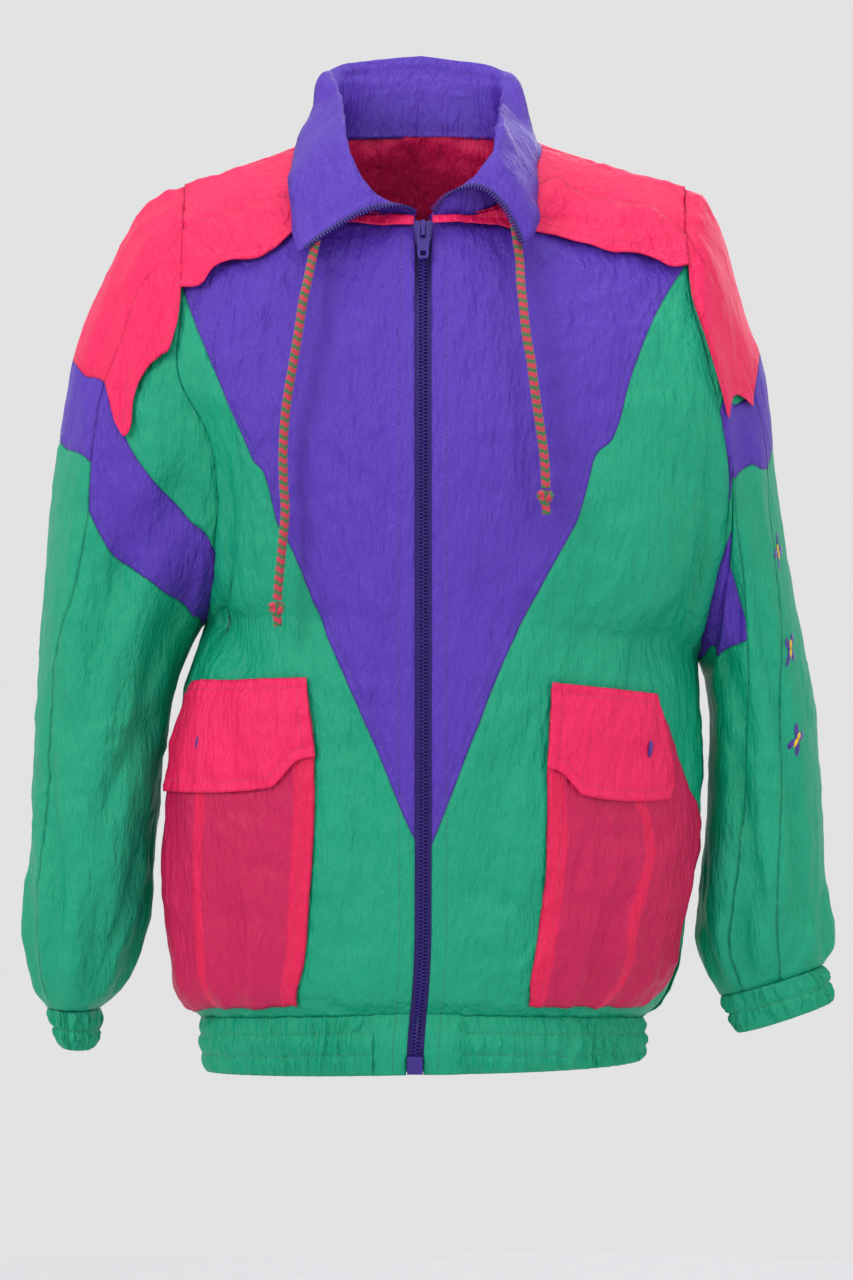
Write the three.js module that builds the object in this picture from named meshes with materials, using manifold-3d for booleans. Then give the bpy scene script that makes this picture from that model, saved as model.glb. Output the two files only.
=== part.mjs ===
import * as THREE from 'three';
import Module from 'manifold-3d';
import { mergeVertices } from 'three/addons/utils/BufferGeometryUtils.js';

// Track jacket of thin nylon in its worn, hollow form. Millimetres, +Z up, front towards -Y.
// The origin is the middle of the neck at shoulder height, where the wearer holds the jacket.
// Side -1 is the left of a view from the front and side +1 is the right of it.

// Driving sizes
const CLOTH = 1.5;
const SEAM_MARGIN = 0.35;
const LAYER_GAP = 1.2;
const PLACKET_HALF = 6;
const QUARTER_ROUND = 1.65;
const SIDES = [-1, 1];
const SIDE_NAME = { '-1': 'left', 1: 'right' };

const FRONT_WAIST_Z = -621;
const SIDE_WAIST_Z = -633;
const NECK_PIT_Z = -56;
const NAPE_Z = 17;
// Shares of the way up the body at which the armhole, the neck pit and the nape lie
const ARMHOLE_H = 0.47;
const PIT_H = 0.94;
const NAPE_H = 0.93;

const PINK = 0xf02460;
const CRIMSON = 0xcb1550;
const PURPLE = 0x573cb4;
const GREEN = 0x00a487;
const ZIP_PURPLE = 0x35208a;
const CORD_PINK = 0xe63a5c;

// Small helpers
const vec = (x, y, z) => new THREE.Vector3(x, y, z);
const mix = (a, b, t) => a + (b - a) * t;
const clamp01 = (x) => Math.min(1, Math.max(0, x));
const radians = (degrees) => (degrees * Math.PI) / 180;

function smooth(from, to, x) {
  const t = clamp01((x - from) / (to - from));
  return t * t * (3 - 2 * t);
}

function table(columns, rows) {
  return rows.map((row) => Object.fromEntries(columns.map((name, i) => [name, row[i]])));
}

// Value of a column where the key column has the value at, on a smooth curve through the rows
function read(rows, key, column, at) {
  const last = rows.length - 1;
  const x = Math.min(Math.max(at, rows[0][key]), rows[last][key]);
  let i = 0;
  while (i < last - 1 && x >= rows[i + 1][key]) i += 1;
  const slope = (j) => {
    const a = Math.max(0, j - 1);
    const b = Math.min(last, j + 1);
    return (rows[b][column] - rows[a][column]) / (rows[b][key] - rows[a][key]);
  };
  const width = rows[i + 1][key] - rows[i][key];
  const t = (x - rows[i][key]) / width;
  const t2 = t * t;
  const t3 = t2 * t;
  return (2 * t3 - 3 * t2 + 1) * rows[i][column] + (t3 - 2 * t2 + t) * width * slope(i)
    + (-2 * t3 + 3 * t2) * rows[i + 1][column] + (t3 - t2) * width * slope(i + 1);
}

function hermite(from, to, fromTangent, toTangent, t) {
  const t2 = t * t;
  const t3 = t2 * t;
  return vec(0, 0, 0)
    .addScaledVector(from, 2 * t3 - 3 * t2 + 1)
    .addScaledVector(fromTangent, t3 - 2 * t2 + t)
    .addScaledVector(to, -2 * t3 + 3 * t2)
    .addScaledVector(toTangent, t3 - t2);
}

// Body: depth of the centre lines, the neckline and the side lines
const FRONT_LINE = table(['z', 'y'], [
  [-664, -112], [-643, -116], [-621, -114], [-610, -121], [-590, -127], [-550, -131], [-480, -135], [-400, -136],
  [-300, -133], [-220, -127], [-150, -113], [-100, -98], [-56, -80],
]);
const BACK_LINE = table(['z', 'y'], [
  [-621, 113], [-611, 122], [-595, 128], [-565, 130], [-500, 122], [-400, 113], [-300, 110],
  [-200, 112], [-120, 107], [-60, 93], [-20, 79], [17, 66],
]);
const NECKLINE = table(['around', 'x', 'y', 'z'], [
  [0, 0, -80, -56], [30, 46, -74, -49], [60, 77, -43, -23], [90, 87, 0, 2], [120, 73, 38, 12],
  [150, 41, 60, 16], [180, 0, 66, 17],
]);
const SIDE_LINE = {
  '-1': table(['z', 'x', 'y'], [
    [-633, 161, 2], [-624, 170, 0], [-611, 179, -3], [-584, 182, -5], [-548, 186, -5], [-511, 186, -5],
    [-475, 183, -5], [-438, 180, -4], [-395, 174, -2], [-369, 166, 2], [-345, 158.5, 5],
  ]),
  1: table(['z', 'x', 'y'], [
    [-633, 162, 2], [-624, 171, 0], [-608, 180, -3], [-584, 189, -5], [-548, 195, -5], [-511, 199, -5],
    [-475, 203, -5], [-438, 204, -4], [-402, 202, -2], [-385, 201.5, 2], [-370, 201.5, 5],
  ]),
};
const UNDERARM_Z = { '-1': -345, 1: -370 };
// Armhole, round from the shoulder point over the front to the underarm and up the back
const ARMHOLE = {
  '-1': table(['around', 'x', 'y', 'z'], [
    [0, 173, 5, -24], [30, 171, -48, -66], [60, 170, -74, -118], [85, 172, -86, -168],
    [110, 152, -82, -212], [130, 144, -74, -250], [150, 148, -60, -296], [165, 154, -36, -330],
    [180, 158.5, 5, -345], [195, 157, 34, -335], [215, 153, 60, -300], [240, 150, 80, -245],
    [270, 153, 88, -180], [300, 161, 80, -115], [330, 169, 52, -62], [360, 173, 5, -24],
  ]),
  1: table(['around', 'x', 'y', 'z'], [
    [0, 193, 5, -26], [30, 190.5, -48, -67], [60, 193, -74, -116], [85, 205, -86, -163],
    [110, 214, -84, -205], [130, 219, -74, -251], [150, 216, -60, -301], [165, 207, -36, -344],
    [180, 201.5, 5, -370], [195, 202, 34, -358], [215, 205, 60, -320], [240, 208, 80, -262],
    [270, 207, 88, -190], [300, 202, 80, -120], [330, 195, 52, -64], [360, 193, 5, -26],
  ]),
};
const ARMHOLE_TURN = table(['h', 'around'], [
  [0.47, 180], [0.52, 160], [0.58, 142], [0.65, 124], [0.72, 108], [0.79, 90], [0.86, 66],
  [0.92, 40], [0.96, 20], [1, 0],
]);
const SIDE_ROLL = table(['h', 'roll'], [
  [0, 1], [0.47, 1], [0.55, 0.85], [0.65, 0.75], [0.75, 0.7], [0.85, 0.55], [0.93, 0.25], [1, 0],
]);
// Sideways drift of the zip down the front
const ZIP_DRIFT = table(['z', 'x'], [[-664, -4.5], [-640, -3.5], [-600, 0], [-560, 1.5], [-56, 1.5]]);

// Folds are soft troughs along a line on a surface: where it starts and ends, how wide and how deep
const FOLD_COLUMNS = ['u0', 'v0', 'u1', 'v1', 'width', 'depth'];

function foldSum(folds, u, v, scaleU, scaleV) {
  return folds.reduce((sum, fold) => {
    const ax = (fold.u1 - fold.u0) * scaleU;
    const ay = (fold.v1 - fold.v0) * scaleV;
    const bx = (u - fold.u0) * scaleU;
    const by = (v - fold.v0) * scaleV;
    const length = Math.hypot(ax, ay);
    const along = (ax * bx + ay * by) / (length * length);
    const beside = Math.abs(ax * by - ay * bx) / length;
    const ends = smooth(-0.1, 0.25, along) * (1 - smooth(0.75, 1.1, along));
    return sum + fold.depth * ends * Math.exp(-((beside / fold.width) ** 2));
  }, 0);
}

const BODY_FOLDS = {
  '-1': table(FOLD_COLUMNS, [
    [0.95, 0.52, 0.45, 0.40, 16, -4], [0.9, 0.66, 0.74, 0.46, 14, -3.5], [0.16, 0.36, 0.11, 0.1, 12, -3],
    [0.5, 1.75, 0.2, 1.45, 18, -4], [0.9, 1.55, 0.5, 1.62, 16, -3.5],
  ]),
  1: table(FOLD_COLUMNS, [
    [0.92, 0.56, 0.5, 0.42, 16, -4], [0.85, 0.68, 0.8, 0.46, 13, -4], [0.18, 0.34, 0.12, 0.1, 12, -3],
    [0.45, 1.72, 0.15, 1.5, 18, -4], [0.9, 1.52, 0.55, 1.66, 16, -4],
  ]),
};
const WAIST_PUCKERS = 6;
const WAIST_PUCKER_DEPTH = 2.6;

function centreLine(side, k) {
  const front = k <= 1;
  const h = front ? k : 2 - k;
  const topH = front ? PIT_H : NAPE_H;
  const topZ = front ? NECK_PIT_Z : NAPE_Z;
  if (h > topH) {
    const share = (h - topH) / (1 - topH);
    const around = front ? 90 * share : 180 - 90 * share;
    const x = side * read(NECKLINE, 'around', 'x', around);
    return vec(x, read(NECKLINE, 'around', 'y', around), read(NECKLINE, 'around', 'z', around));
  }
  const z = mix(FRONT_WAIST_Z, topZ, h / topH);
  return vec(0, read(front ? FRONT_LINE : BACK_LINE, 'z', 'y', z), z);
}

function armholePoint(side, around) {
  const at = ((around % 360) + 360) % 360;
  const rows = ARMHOLE[side];
  return vec(side * read(rows, 'around', 'x', at), read(rows, 'around', 'y', at), read(rows, 'around', 'z', at));
}

function sideLine(side, k) {
  const h = k <= 1 ? k : 2 - k;
  if (h < ARMHOLE_H) {
    const z = mix(SIDE_WAIST_Z, UNDERARM_Z[side], h / ARMHOLE_H);
    return vec(side * read(SIDE_LINE[side], 'z', 'x', z), read(SIDE_LINE[side], 'z', 'y', z), z);
  }
  const around = read(ARMHOLE_TURN, 'h', 'around', h);
  return armholePoint(side, k <= 1 ? around : 360 - around);
}

// Quarter of the body between a centre line and a side line, p across and k up the front, down the back
function plainBody(side, p, k) {
  const h = k <= 1 ? k : 2 - k;
  const from = centreLine(side, k);
  const to = sideLine(side, k);
  const d = to.clone().sub(from);
  const flat = 1 - smooth(0.86, 0.97, h);
  const roll = read(SIDE_ROLL, 'h', 'roll', h);
  const start = d.clone().multiplyScalar(1 - flat);
  start.add(vec(QUARTER_ROUND * d.x, 0, d.z).multiplyScalar(flat));
  const end = d.clone().multiplyScalar(1 - roll);
  end.add(vec(0, QUARTER_ROUND * d.y, d.z).multiplyScalar(roll));
  const point = hermite(from, to, start, end, p);
  if (k <= 1) {
    const fade = (1 - smooth(0, 0.5, p)) * (1 - smooth(PIT_H, 1, h));
    point.x += read(ZIP_DRIFT, 'z', 'x', point.z) * fade;
  }
  return point;
}

function slopeAcross(surface, u, v, uLimits, vLimits) {
  const step = 0.004;
  const u0 = Math.max(uLimits[0], u - step);
  const u1 = Math.min(uLimits[1], u + step);
  const v0 = Math.max(vLimits[0], v - step);
  const v1 = Math.min(vLimits[1], v + step);
  const du = surface(u1, v).sub(surface(u0, v)).divideScalar(u1 - u0);
  const dv = surface(u, v1).sub(surface(u, v0)).divideScalar(v1 - v0);
  return du.cross(dv).normalize();
}

function bodyFold(side, p, k) {
  const h = k <= 1 ? k : 2 - k;
  const wave = Math.sin(2 * Math.PI * (WAIST_PUCKERS * p + 0.3 * Math.sin(5 * p + side + k)));
  const near = k > 1 ? smooth(0, 0.02, h) * (1 - smooth(0.03, 0.15, h)) : 0;
  return WAIST_PUCKER_DEPTH * wave * near + foldSum(BODY_FOLDS[side], p, k, 230, 620);
}

function body(side, p, k) {
  const point = plainBody(side, p, k);
  const fold = bodyFold(side, p, k);
  if (Math.abs(fold) < 0.01) return point;
  const out = slopeAcross((a, b) => plainBody(side, a, b), p, k, [0, 1], [0, 2]);
  return point.addScaledVector(out, side * fold);
}

const bodyOut = (side, p, k) => (
  slopeAcross((a, b) => body(side, a, b), p, k, [0, 1], [0, 2]).multiplyScalar(side)
);

// Sleeves: rings from the armhole to the cuff, by their outer and inner points and their depths
const RING_COLUMNS = ['t', 'ox', 'oz', 'ix', 'iz', 'front', 'back', 'mid'];
const SLEEVE = {
  '-1': table(RING_COLUMNS, [
    [0, 173, -24, 158.5, -345, 86, 88, 0], [0.05, 190.6, -31.7, 161, -351, 86, 86, 0],
    [0.1, 207, -47, 164, -357, 85, 84, 0], [0.16, 221.5, -73, 167, -364, 84, 82, 0],
    [0.22, 234.5, -102, 170, -371, 82, 80, 0], [0.28, 245.4, -128, 173, -378, 80, 77, 0],
    [0.33, 253.4, -153.6, 176, -386, 78, 74, 0], [0.39, 259.3, -186.5, 178, -394, 75, 71, 0],
    [0.45, 263.6, -219.3, 180, -403, 72, 69, 0], [0.51, 268, -256, 182, -414, 69, 66, 0],
    [0.57, 272.4, -300, 184, -428, 67, 64, 0], [0.64, 277, -351, 187, -446, 65, 62, 0],
    [0.71, 280, -402, 190, -470, 63, 60, 0], [0.78, 283, -453, 193, -500, 61, 58, 0],
    [0.85, 286, -504, 194, -532, 58, 56, 0], [0.91, 289, -551, 196, -560, 54, 52, 0],
    [0.95, 288, -581, 205, -587, 49, 47, 0], [0.98, 281, -612, 219, -613, 42, 40, 0],
    [1, 273, -625, 234, -626, 37, 35, 0],
  ]),
  1: table(RING_COLUMNS, [
    [0, 193, -26, 201.5, -370, 86, 88, 0], [0.05, 206.5, -34, 204, -375, 85, 86, 0],
    [0.1, 219.6, -60, 206, -380, 84, 84, 4], [0.16, 231.3, -99, 208, -386, 82, 82, 8],
    [0.22, 240, -128, 209, -392, 80, 80, 10], [0.28, 248.8, -155, 210, -398, 78, 78, 12],
    [0.33, 254.6, -190, 211, -405, 75, 75, 12], [0.39, 257.6, -226.6, 212, -413, 72, 72, 12],
    [0.45, 264, -270, 212, -423, 69, 69, 11], [0.51, 271.4, -314, 212, -436, 66, 66, 10],
    [0.57, 278, -358, 211, -452, 64, 64, 9], [0.64, 284.6, -402, 210, -474, 62, 62, 8],
    [0.71, 289.7, -446, 207, -500, 60, 60, 7], [0.78, 292.6, -486, 204, -527, 57, 57, 6],
    [0.85, 294.5, -524, 202, -553, 53, 53, 5], [0.91, 298, -556, 201, -574, 46, 46, 4],
    [0.95, 299, -574, 204, -589, 40, 40, 3], [0.98, 298, -586, 210, -602, 34, 34, 2],
    [1, 294, -594, 218, -617, 29, 29, 2],
  ]),
};
const SLEEVE_FOLDS = {
  '-1': table(FOLD_COLUMNS, [
    [0.05, 120, 0.5, 95, 13, -5], [0.12, 150, 0.62, 130, 12, -4.5], [0.3, 100, 0.72, 80, 13, -4],
    [0.55, 150, 0.8, 100, 12, -4], [0.72, 40, 0.96, 75, 12, -3.5], [0.8, 150, 0.97, 120, 11, -4],
    [0.1, 240, 0.5, 265, 14, -4.5], [0.4, 220, 0.75, 260, 13, -4], [0.7, 300, 0.95, 260, 12, -4],
  ]),
  1: table(FOLD_COLUMNS, [
    [0.04, 128, 0.45, 100, 13, -5], [0.3, 140, 0.62, 105, 13, -5], [0.4, 85, 0.75, 60, 12, -4],
    [0.55, 130, 0.9, 95, 12, -4.5], [0.7, 60, 0.95, 50, 12, -3.5], [0.76, 120, 0.97, 110, 10, -4],
    [0.1, 235, 0.5, 260, 14, -4.5], [0.42, 225, 0.78, 265, 13, -4], [0.72, 300, 0.95, 265, 12, -4],
  ]),
};
const CUFF_PUCKERS = 9;
const CUFF_PUCKER_DEPTH = 2.2;

// Ring of the sleeve: its middle, the half line to its outer point and its depth at an angle
function sleeveRing(side, t, around) {
  const rows = SLEEVE[side];
  const mid = read(rows, 't', 'mid', t);
  const outer = vec(side * read(rows, 't', 'ox', t), mid, read(rows, 't', 'oz', t));
  const inner = vec(side * read(rows, 't', 'ix', t), mid, read(rows, 't', 'iz', t));
  const depth = read(rows, 't', Math.sin(radians(around)) > 0 ? 'front' : 'back', t);
  const middle = outer.clone().add(inner).multiplyScalar(0.5);
  return { middle, half: outer.sub(inner).multiplyScalar(0.5), depth };
}

function ringPoint(side, t, around) {
  const { middle, half, depth } = sleeveRing(side, t, around);
  middle.addScaledVector(half, Math.cos(radians(around)));
  middle.y -= depth * Math.sin(radians(around));
  return middle;
}

function plainSleeve(side, t, around) {
  const fall = 1 - smooth(0, 0.3, t);
  const toArmhole = armholePoint(side, around).sub(ringPoint(side, 0, around));
  return ringPoint(side, t, around).addScaledVector(toArmhole, fall);
}

// Outward direction of the sleeve, that of its ring
function sleeveOut(side, t, around) {
  const { half, depth } = sleeveRing(side, t, around);
  const out = half.clone().multiplyScalar(Math.cos(radians(around)) / half.lengthSq());
  out.y -= Math.sin(radians(around)) / depth;
  return out.normalize();
}

function sleeve(side, t, around) {
  const wave = Math.sin(radians(CUFF_PUCKERS * around) + 1.2 * Math.sin(radians(2 * around) + side));
  const near = smooth(0.84, 0.93, t) * (1 - smooth(0.97, 1, t));
  const turned = ((around % 360) + 360) % 360;
  const fold = foldSum(SLEEVE_FOLDS[side], t, turned, 480, 1.3) + CUFF_PUCKER_DEPTH * wave * near;
  const share = smooth(0, 0.03, t) * (1 - smooth(0.97, 1, t));
  return plainSleeve(side, t, around).addScaledVector(sleeveOut(side, t, around), fold * share);
}

// A panel is a closed wall over columns of places on a surface. at(u, w) gives a place, us lists the
// columns from 0 to 1 and ws(i) lists the rows of column i. Neighbours list the same places along
// their common seam. layer gives the distances of the inner and outer face from the surface, and
// margin the seam margin in mm at u 0, u 1, w 0 and w 1.
const PROBE = 0.01;
const evenly = (count) => [...Array(count + 1)].map((_, i) => i / count);

// Share of a column or row by which its end moves in, so that it lies margin mm from the seam
function seamShift(at, u, w, du, dw, margin, room) {
  if (!margin) return 0;
  const place = at(u, w).point;
  const inward = at(u + du * PROBE, w + dw * PROBE).point.sub(place).divideScalar(PROBE);
  const aside = du === 0 ? [u < 0.5 ? PROBE : -PROBE, 0] : [0, w < 0.5 ? PROBE : -PROBE];
  const seam = at(u + aside[0], w + aside[1]).point.sub(place).normalize();
  const square = inward.clone().cross(seam).length();
  return Math.min(margin / Math.max(square, 1e-6), room * 0.4);
}

function panel(at, us, ws, layer = () => [-CLOTH, 0], margin = [1, 1, 1, 1].map(() => SEAM_MARGIN)) {
  const columns = us.map((u, i) => ws(i).map((w, j, rows) => {
    let shiftU = 0;
    let shiftW = 0;
    if (i === 0) shiftU = seamShift(at, u, w, 1, 0, margin[0], us[1] - us[0]);
    if (i === us.length - 1) shiftU = -seamShift(at, u, w, -1, 0, margin[1], u - us[i - 1]);
    if (j === 0) shiftW = seamShift(at, u, w, 0, 1, margin[2], rows[1] - rows[0]);
    if (j === rows.length - 1) shiftW = -seamShift(at, u, w, 0, -1, margin[3], w - rows[j - 1]);
    const place = at(u + shiftU, w + shiftW);
    const [low, high] = layer(u, w);
    const out = place.out();
    return {
      w,
      outer: place.point.clone().addScaledVector(out, high),
      inner: place.point.clone().addScaledVector(out, low),
    };
  }));
  return wallGeometry(columns);
}

function wallGeometry(columns, closed = false) {
  const starts = [];
  let count = 0;
  columns.forEach((column) => {
    starts.push(count);
    count += column.length;
  });
  const cells = columns.flat();
  const places = [...cells.map((cell) => cell.outer), ...cells.map((cell) => cell.inner)];
  const triangles = [];
  const face = (a, b, c) => triangles.push(a, b, c, count + a, count + c, count + b);
  const wall = (a, b) => triangles.push(b, a, count + a, b, count + a, count + b);
  const pairs = closed ? columns.length : columns.length - 1;
  for (let c = 0; c < pairs; c += 1) {
    const next = (c + 1) % columns.length;
    const [left, right] = [columns[c], columns[next]];
    let i = 0;
    let j = 0;
    while (i < left.length - 1 || j < right.length - 1) {
      const [a, b] = [starts[c] + i, starts[next] + j];
      const leftNext = i < left.length - 1 ? left[i + 1].w : Infinity;
      const rightNext = j < right.length - 1 ? right[j + 1].w : Infinity;
      if (leftNext <= rightNext) {
        face(a, b, a + 1);
        i += 1;
      } else {
        face(a, b, b + 1);
        j += 1;
      }
    }
    wall(starts[c], starts[next]);
    wall(starts[next] + right.length - 1, starts[c] + left.length - 1);
  }
  if (!closed) {
    const first = columns[0].length;
    for (let i = 0; i < first - 1; i += 1) wall(i + 1, i);
    const from = starts.at(-1);
    for (let i = 0; i < columns.at(-1).length - 1; i += 1) wall(from + i, from + i + 1);
  }
  return closedGeometry(places, triangles);
}

// A geometry with its faces pointing out, whichever way round its grid was walked
function closedGeometry(places, triangles) {
  let volume = 0;
  for (let i = 0; i < triangles.length; i += 3) {
    const [a, b, c] = [places[triangles[i]], places[triangles[i + 1]], places[triangles[i + 2]]];
    volume += a.dot(b.clone().cross(c));
  }
  const index = volume > 0 ? triangles : triangles.map((_, i) => triangles[i - (i % 3) + [0, 2, 1][i % 3]]);
  const geometry = new THREE.BufferGeometry();
  geometry.setAttribute('position', new THREE.Float32BufferAttribute(places.flatMap((v) => [v.x, v.y, v.z]), 3));
  geometry.setIndex(index);
  geometry.computeVertexNormals();
  return geometry;
}

const jacket = new THREE.Group();

function add(parent, name, geometry, color, roughness = 0.55) {
  const material = new THREE.MeshStandardMaterial({ color, roughness, metalness: 0, flatShading: true });
  const mesh = new THREE.Mesh(geometry, material);
  mesh.name = name;
  parent.add(mesh);
  return mesh;
}

// Height share at which the armhole reaches an angle, up the front or down the back
function armholeK(around) {
  const folded = around > 180 ? 360 - around : around;
  let a = ARMHOLE_H;
  let b = 1;
  for (let i = 0; i < 24; i += 1) {
    const h = (a + b) / 2;
    if (read(ARMHOLE_TURN, 'h', 'around', h) > folded) a = h;
    else b = h;
  }
  const h = (a + b) / 2;
  return around > 180 ? 2 - h : h;
}

// The outward direction that body and sleeve share along the armhole, so their walls meet in a mitre
function armholeOut(side, around) {
  const turned = ((around % 360) + 360) % 360;
  return bodyOut(side, 1, armholeK(turned)).add(sleeveOut(side, 0, turned)).normalize();
}

function bodyPlace(side, p, k) {
  const h = k <= 1 ? k : 2 - k;
  const atArmhole = p > 0.97 && h > ARMHOLE_H - 0.01;
  const angle = () => read(ARMHOLE_TURN, 'h', 'around', h);
  return {
    point: body(side, p, k),
    out: () => (atArmhole ? armholeOut(side, k <= 1 ? angle() : 360 - angle()) : bodyOut(side, p, k)),
  };
}

function sleevePlace(side, t, around) {
  return {
    point: sleeve(side, t, around),
    out: () => (t < 0.01 ? armholeOut(side, around) : sleeveOut(side, t, around)),
  };
}

// Seams on the body. The V seams are by half width and height, the attach lines by share across.
const V_SEAM = {
  '-1': table(['x', 'z'], [
    [0, -506], [11, -486], [27, -441], [39, -418], [48, -386], [64, -358], [92, -294], [102, -273],
    [109, -243], [119, -230], [129, -208], [143, -177], [155, -148], [171, -104],
  ]),
  1: table(['x', 'z'], [
    [0, -514], [9, -498], [59, -371], [110, -274], [115, -258], [123, -229], [134, -218], [139, -207],
    [149, -171], [166, -128], [190, -88],
  ]),
};
const BACK_V_SEAM = table(['x', 'z'], [[0, -470], [60, -340], [110, -235], [150, -175], [210, -135]]);
const FRONT_FLAP = {
  '-1': table(['p', 'attach', 'edge'], [
    [0, 0.94, 0.925], [0.14, 0.962, 0.928], [0.28, 0.968, 0.93], [0.45, 0.966, 0.928], [0.5, 0.965, 0.912],
    [0.57, 0.963, 0.902], [0.7, 0.958, 0.902], [0.79, 0.953, 0.898], [0.84, 0.951, 0.884], [1, 0.9405, 0.886],
  ]),
  1: table(['p', 'attach', 'edge'], [
    [0, 0.94, 0.925], [0.14, 0.976, 0.93], [0.3, 0.974, 0.93], [0.41, 0.971, 0.928], [0.53, 0.969, 0.915],
    [0.6, 0.969, 0.909], [0.79, 0.964, 0.911], [0.88, 0.957, 0.902], [1, 0.9405, 0.907],
  ]),
};
const BACK_FLAP = table(['p', 'attach', 'edge'], [
  [0, 0.8, 0.71], [0.2, 0.802, 0.71], [0.35, 0.81, 0.718], [0.45, 0.822, 0.745], [0.65, 0.86, 0.775],
  [0.8, 0.9, 0.81], [1, 0.9405, 0.855],
]);

// The front panels start at the placket's edge, beside the zip, and higher up at the neckline
function placketP(side, k) {
  const flat = 1 - smooth(0.86, 0.97, k);
  const width = Math.abs(sideLine(side, k).x - centreLine(side, k).x) * mix(1, QUARTER_ROUND, flat);
  return (PLACKET_HALF / width) * (1 - smooth(0.945, 0.975, k));
}

const frontP = (side, u, k) => mix(placketP(side, k), 1, u);
const frontPlace = (side, u, k) => bodyPlace(side, frontP(side, u, k), k);

// Height share k at which the column u of a quarter crosses a seam given by x and z
function crossK(side, u, seam, low, high) {
  let a = low;
  let b = high;
  for (let i = 0; i < 22; i += 1) {
    const k = (a + b) / 2;
    const point = plainBody(side, k <= 1 ? frontP(side, u, k) : u, k);
    const under = point.z < read(seam, 'x', 'z', Math.abs(point.x));
    const rising = k <= 1;
    if (under === rising) a = k;
    else b = k;
  }
  return (a + b) / 2;
}

const vK = (side, p) => crossK(side, p, V_SEAM[side], 0.02, Math.min(0.93, frontAttach(side, p) - 0.012));
const backVK = (side, p) => crossK(side, p, BACK_V_SEAM, 1.02, 1.98);
const frontAttach = (side, p) => read(FRONT_FLAP[side], 'p', 'attach', p);
const frontEdge = (side, p) => read(FRONT_FLAP[side], 'p', 'edge', p);
const backAttach = (p) => 2 - read(BACK_FLAP, 'p', 'attach', p);
const backEdge = (p) => 2 - read(BACK_FLAP, 'p', 'edge', p);

// Armhole angles at which the body's rows and the sleeve's columns meet
const CAP_EDGE = 30;
const BAND_EDGE = 150;
const ARMHOLE_STEP = 15;
const vEdge = (side) => read(ARMHOLE_TURN, 'h', 'around', vK(side, 1));
const backVEdge = (side) => read(ARMHOLE_TURN, 'h', 'around', 2 - backVK(side, 1));

// Angles from the underarm up to the shoulder on one half, with the V seam's end among them
function armholeAngles(side, isFront) {
  const extra = isFront ? vEdge(side) : backVEdge(side);
  const list = [180, 170, 160];
  for (let angle = BAND_EDGE; angle >= CAP_EDGE; angle -= ARMHOLE_STEP) {
    list.push(Math.abs(angle - extra) < ARMHOLE_STEP / 2 ? extra : angle);
  }
  return [...list, 20, 10, 0];
}

// Rows for the column at the side line between two height shares, then shares of that column
function sideRows(side, from, to, isFront) {
  const low = Math.min(from, to);
  const high = Math.max(from, to);
  const steps = 5;
  const below = evenly(steps).map((x) => ARMHOLE_H * x).map((h) => (isFront ? h : 2 - h));
  const angles = armholeAngles(side, isFront).map((angle) => armholeK(isFront ? angle : 360 - angle));
  const inside = [...below, ...angles].filter((k) => k > low + 0.003 && k < high - 0.003);
  const shares = [...new Set(inside)].map((k) => (k - from) / (to - from)).sort((a, b) => a - b);
  return [0, ...shares.filter((x, i) => i === 0 || x - shares[i - 1] > 0.004), 1];
}

const FRONT_COLUMNS = evenly(12);
const LOWER_ROWS = 10;
const UPPER_ROWS = 8;
const NO_MARGIN = [0, 0, 0, 0];
const YOKE_MARGIN = [SEAM_MARGIN, SEAM_MARGIN, 0.5, SEAM_MARGIN];
const FLAP_LIFT = 2.6;
const SLEEVE_FLAP_GAP = 0.7;
const flapLayer = (u, w) => {
  const low = mix(FLAP_LIFT, LAYER_GAP, w);
  return [low, low + CLOTH];
};

function buildFront(side) {
  const name = SIDE_NAME[side];
  const us = FRONT_COLUMNS;
  const rowsFor = (from, to, count) => {
    const last = sideRows(side, from, to, true);
    return (i) => (i === us.length - 1 ? last : evenly(count));
  };
  const vEnd = vK(side, 1);
  const yokeStart = frontAttach(side, 1);
  const upper = (u, w) => frontPlace(side, u, mix(vK(side, u), frontAttach(side, u), w));
  const lower = (u, w) => frontPlace(side, u, mix(0, vK(side, u), w));
  const yoke = (u, w) => frontPlace(side, u, mix(frontAttach(side, u), 1, w));
  const upperRows = rowsFor(vEnd, yokeStart, UPPER_ROWS);
  add(jacket, `front_upper_${name}`, panel(upper, us, upperRows), PURPLE);
  const lowerRows = rowsFor(0, vEnd, LOWER_ROWS);
  add(jacket, `front_side_${name}`, panel(lower, us, lowerRows), GREEN);
  add(jacket, `front_yoke_${name}`, panel(yoke, us, rowsFor(yokeStart, 1, 4), undefined, YOKE_MARGIN), PINK);
  const flap = (u, w) => frontPlace(side, u, mix(frontEdge(side, u), frontAttach(side, u), w));
  const flapMargin = [0.8, 0.9, 0, 0.8];
  const collarLift = (u, w) => flapLayer(u, w).map((d) => d + 1.8 * (1 - smooth(0.15, 0.45, u)));
  add(jacket, `front_flap_${name}`, panel(flap, us, () => evenly(2), collarLift, flapMargin), PINK);
}

// The back is walked across both quarters. Its shoulder columns are those of the front yokes.
const SHOULDER_SHARE = 0.62;
const NECK_COLUMNS = 3;
const backQs = [
  ...FRONT_COLUMNS.map((p) => (1 - p) * SHOULDER_SHARE).reverse(),
  ...evenly(NECK_COLUMNS).slice(1).map((x) => mix(SHOULDER_SHARE, 1, x)),
];
const backUs = [...backQs.map((q) => q / 2), ...backQs.slice(0, -1).reverse().map((q) => 1 - q / 2)];
const backQuarter = (u) => (u <= 0.5 ? [-1, 1 - 2 * u] : [1, 2 * u - 1]);

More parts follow.
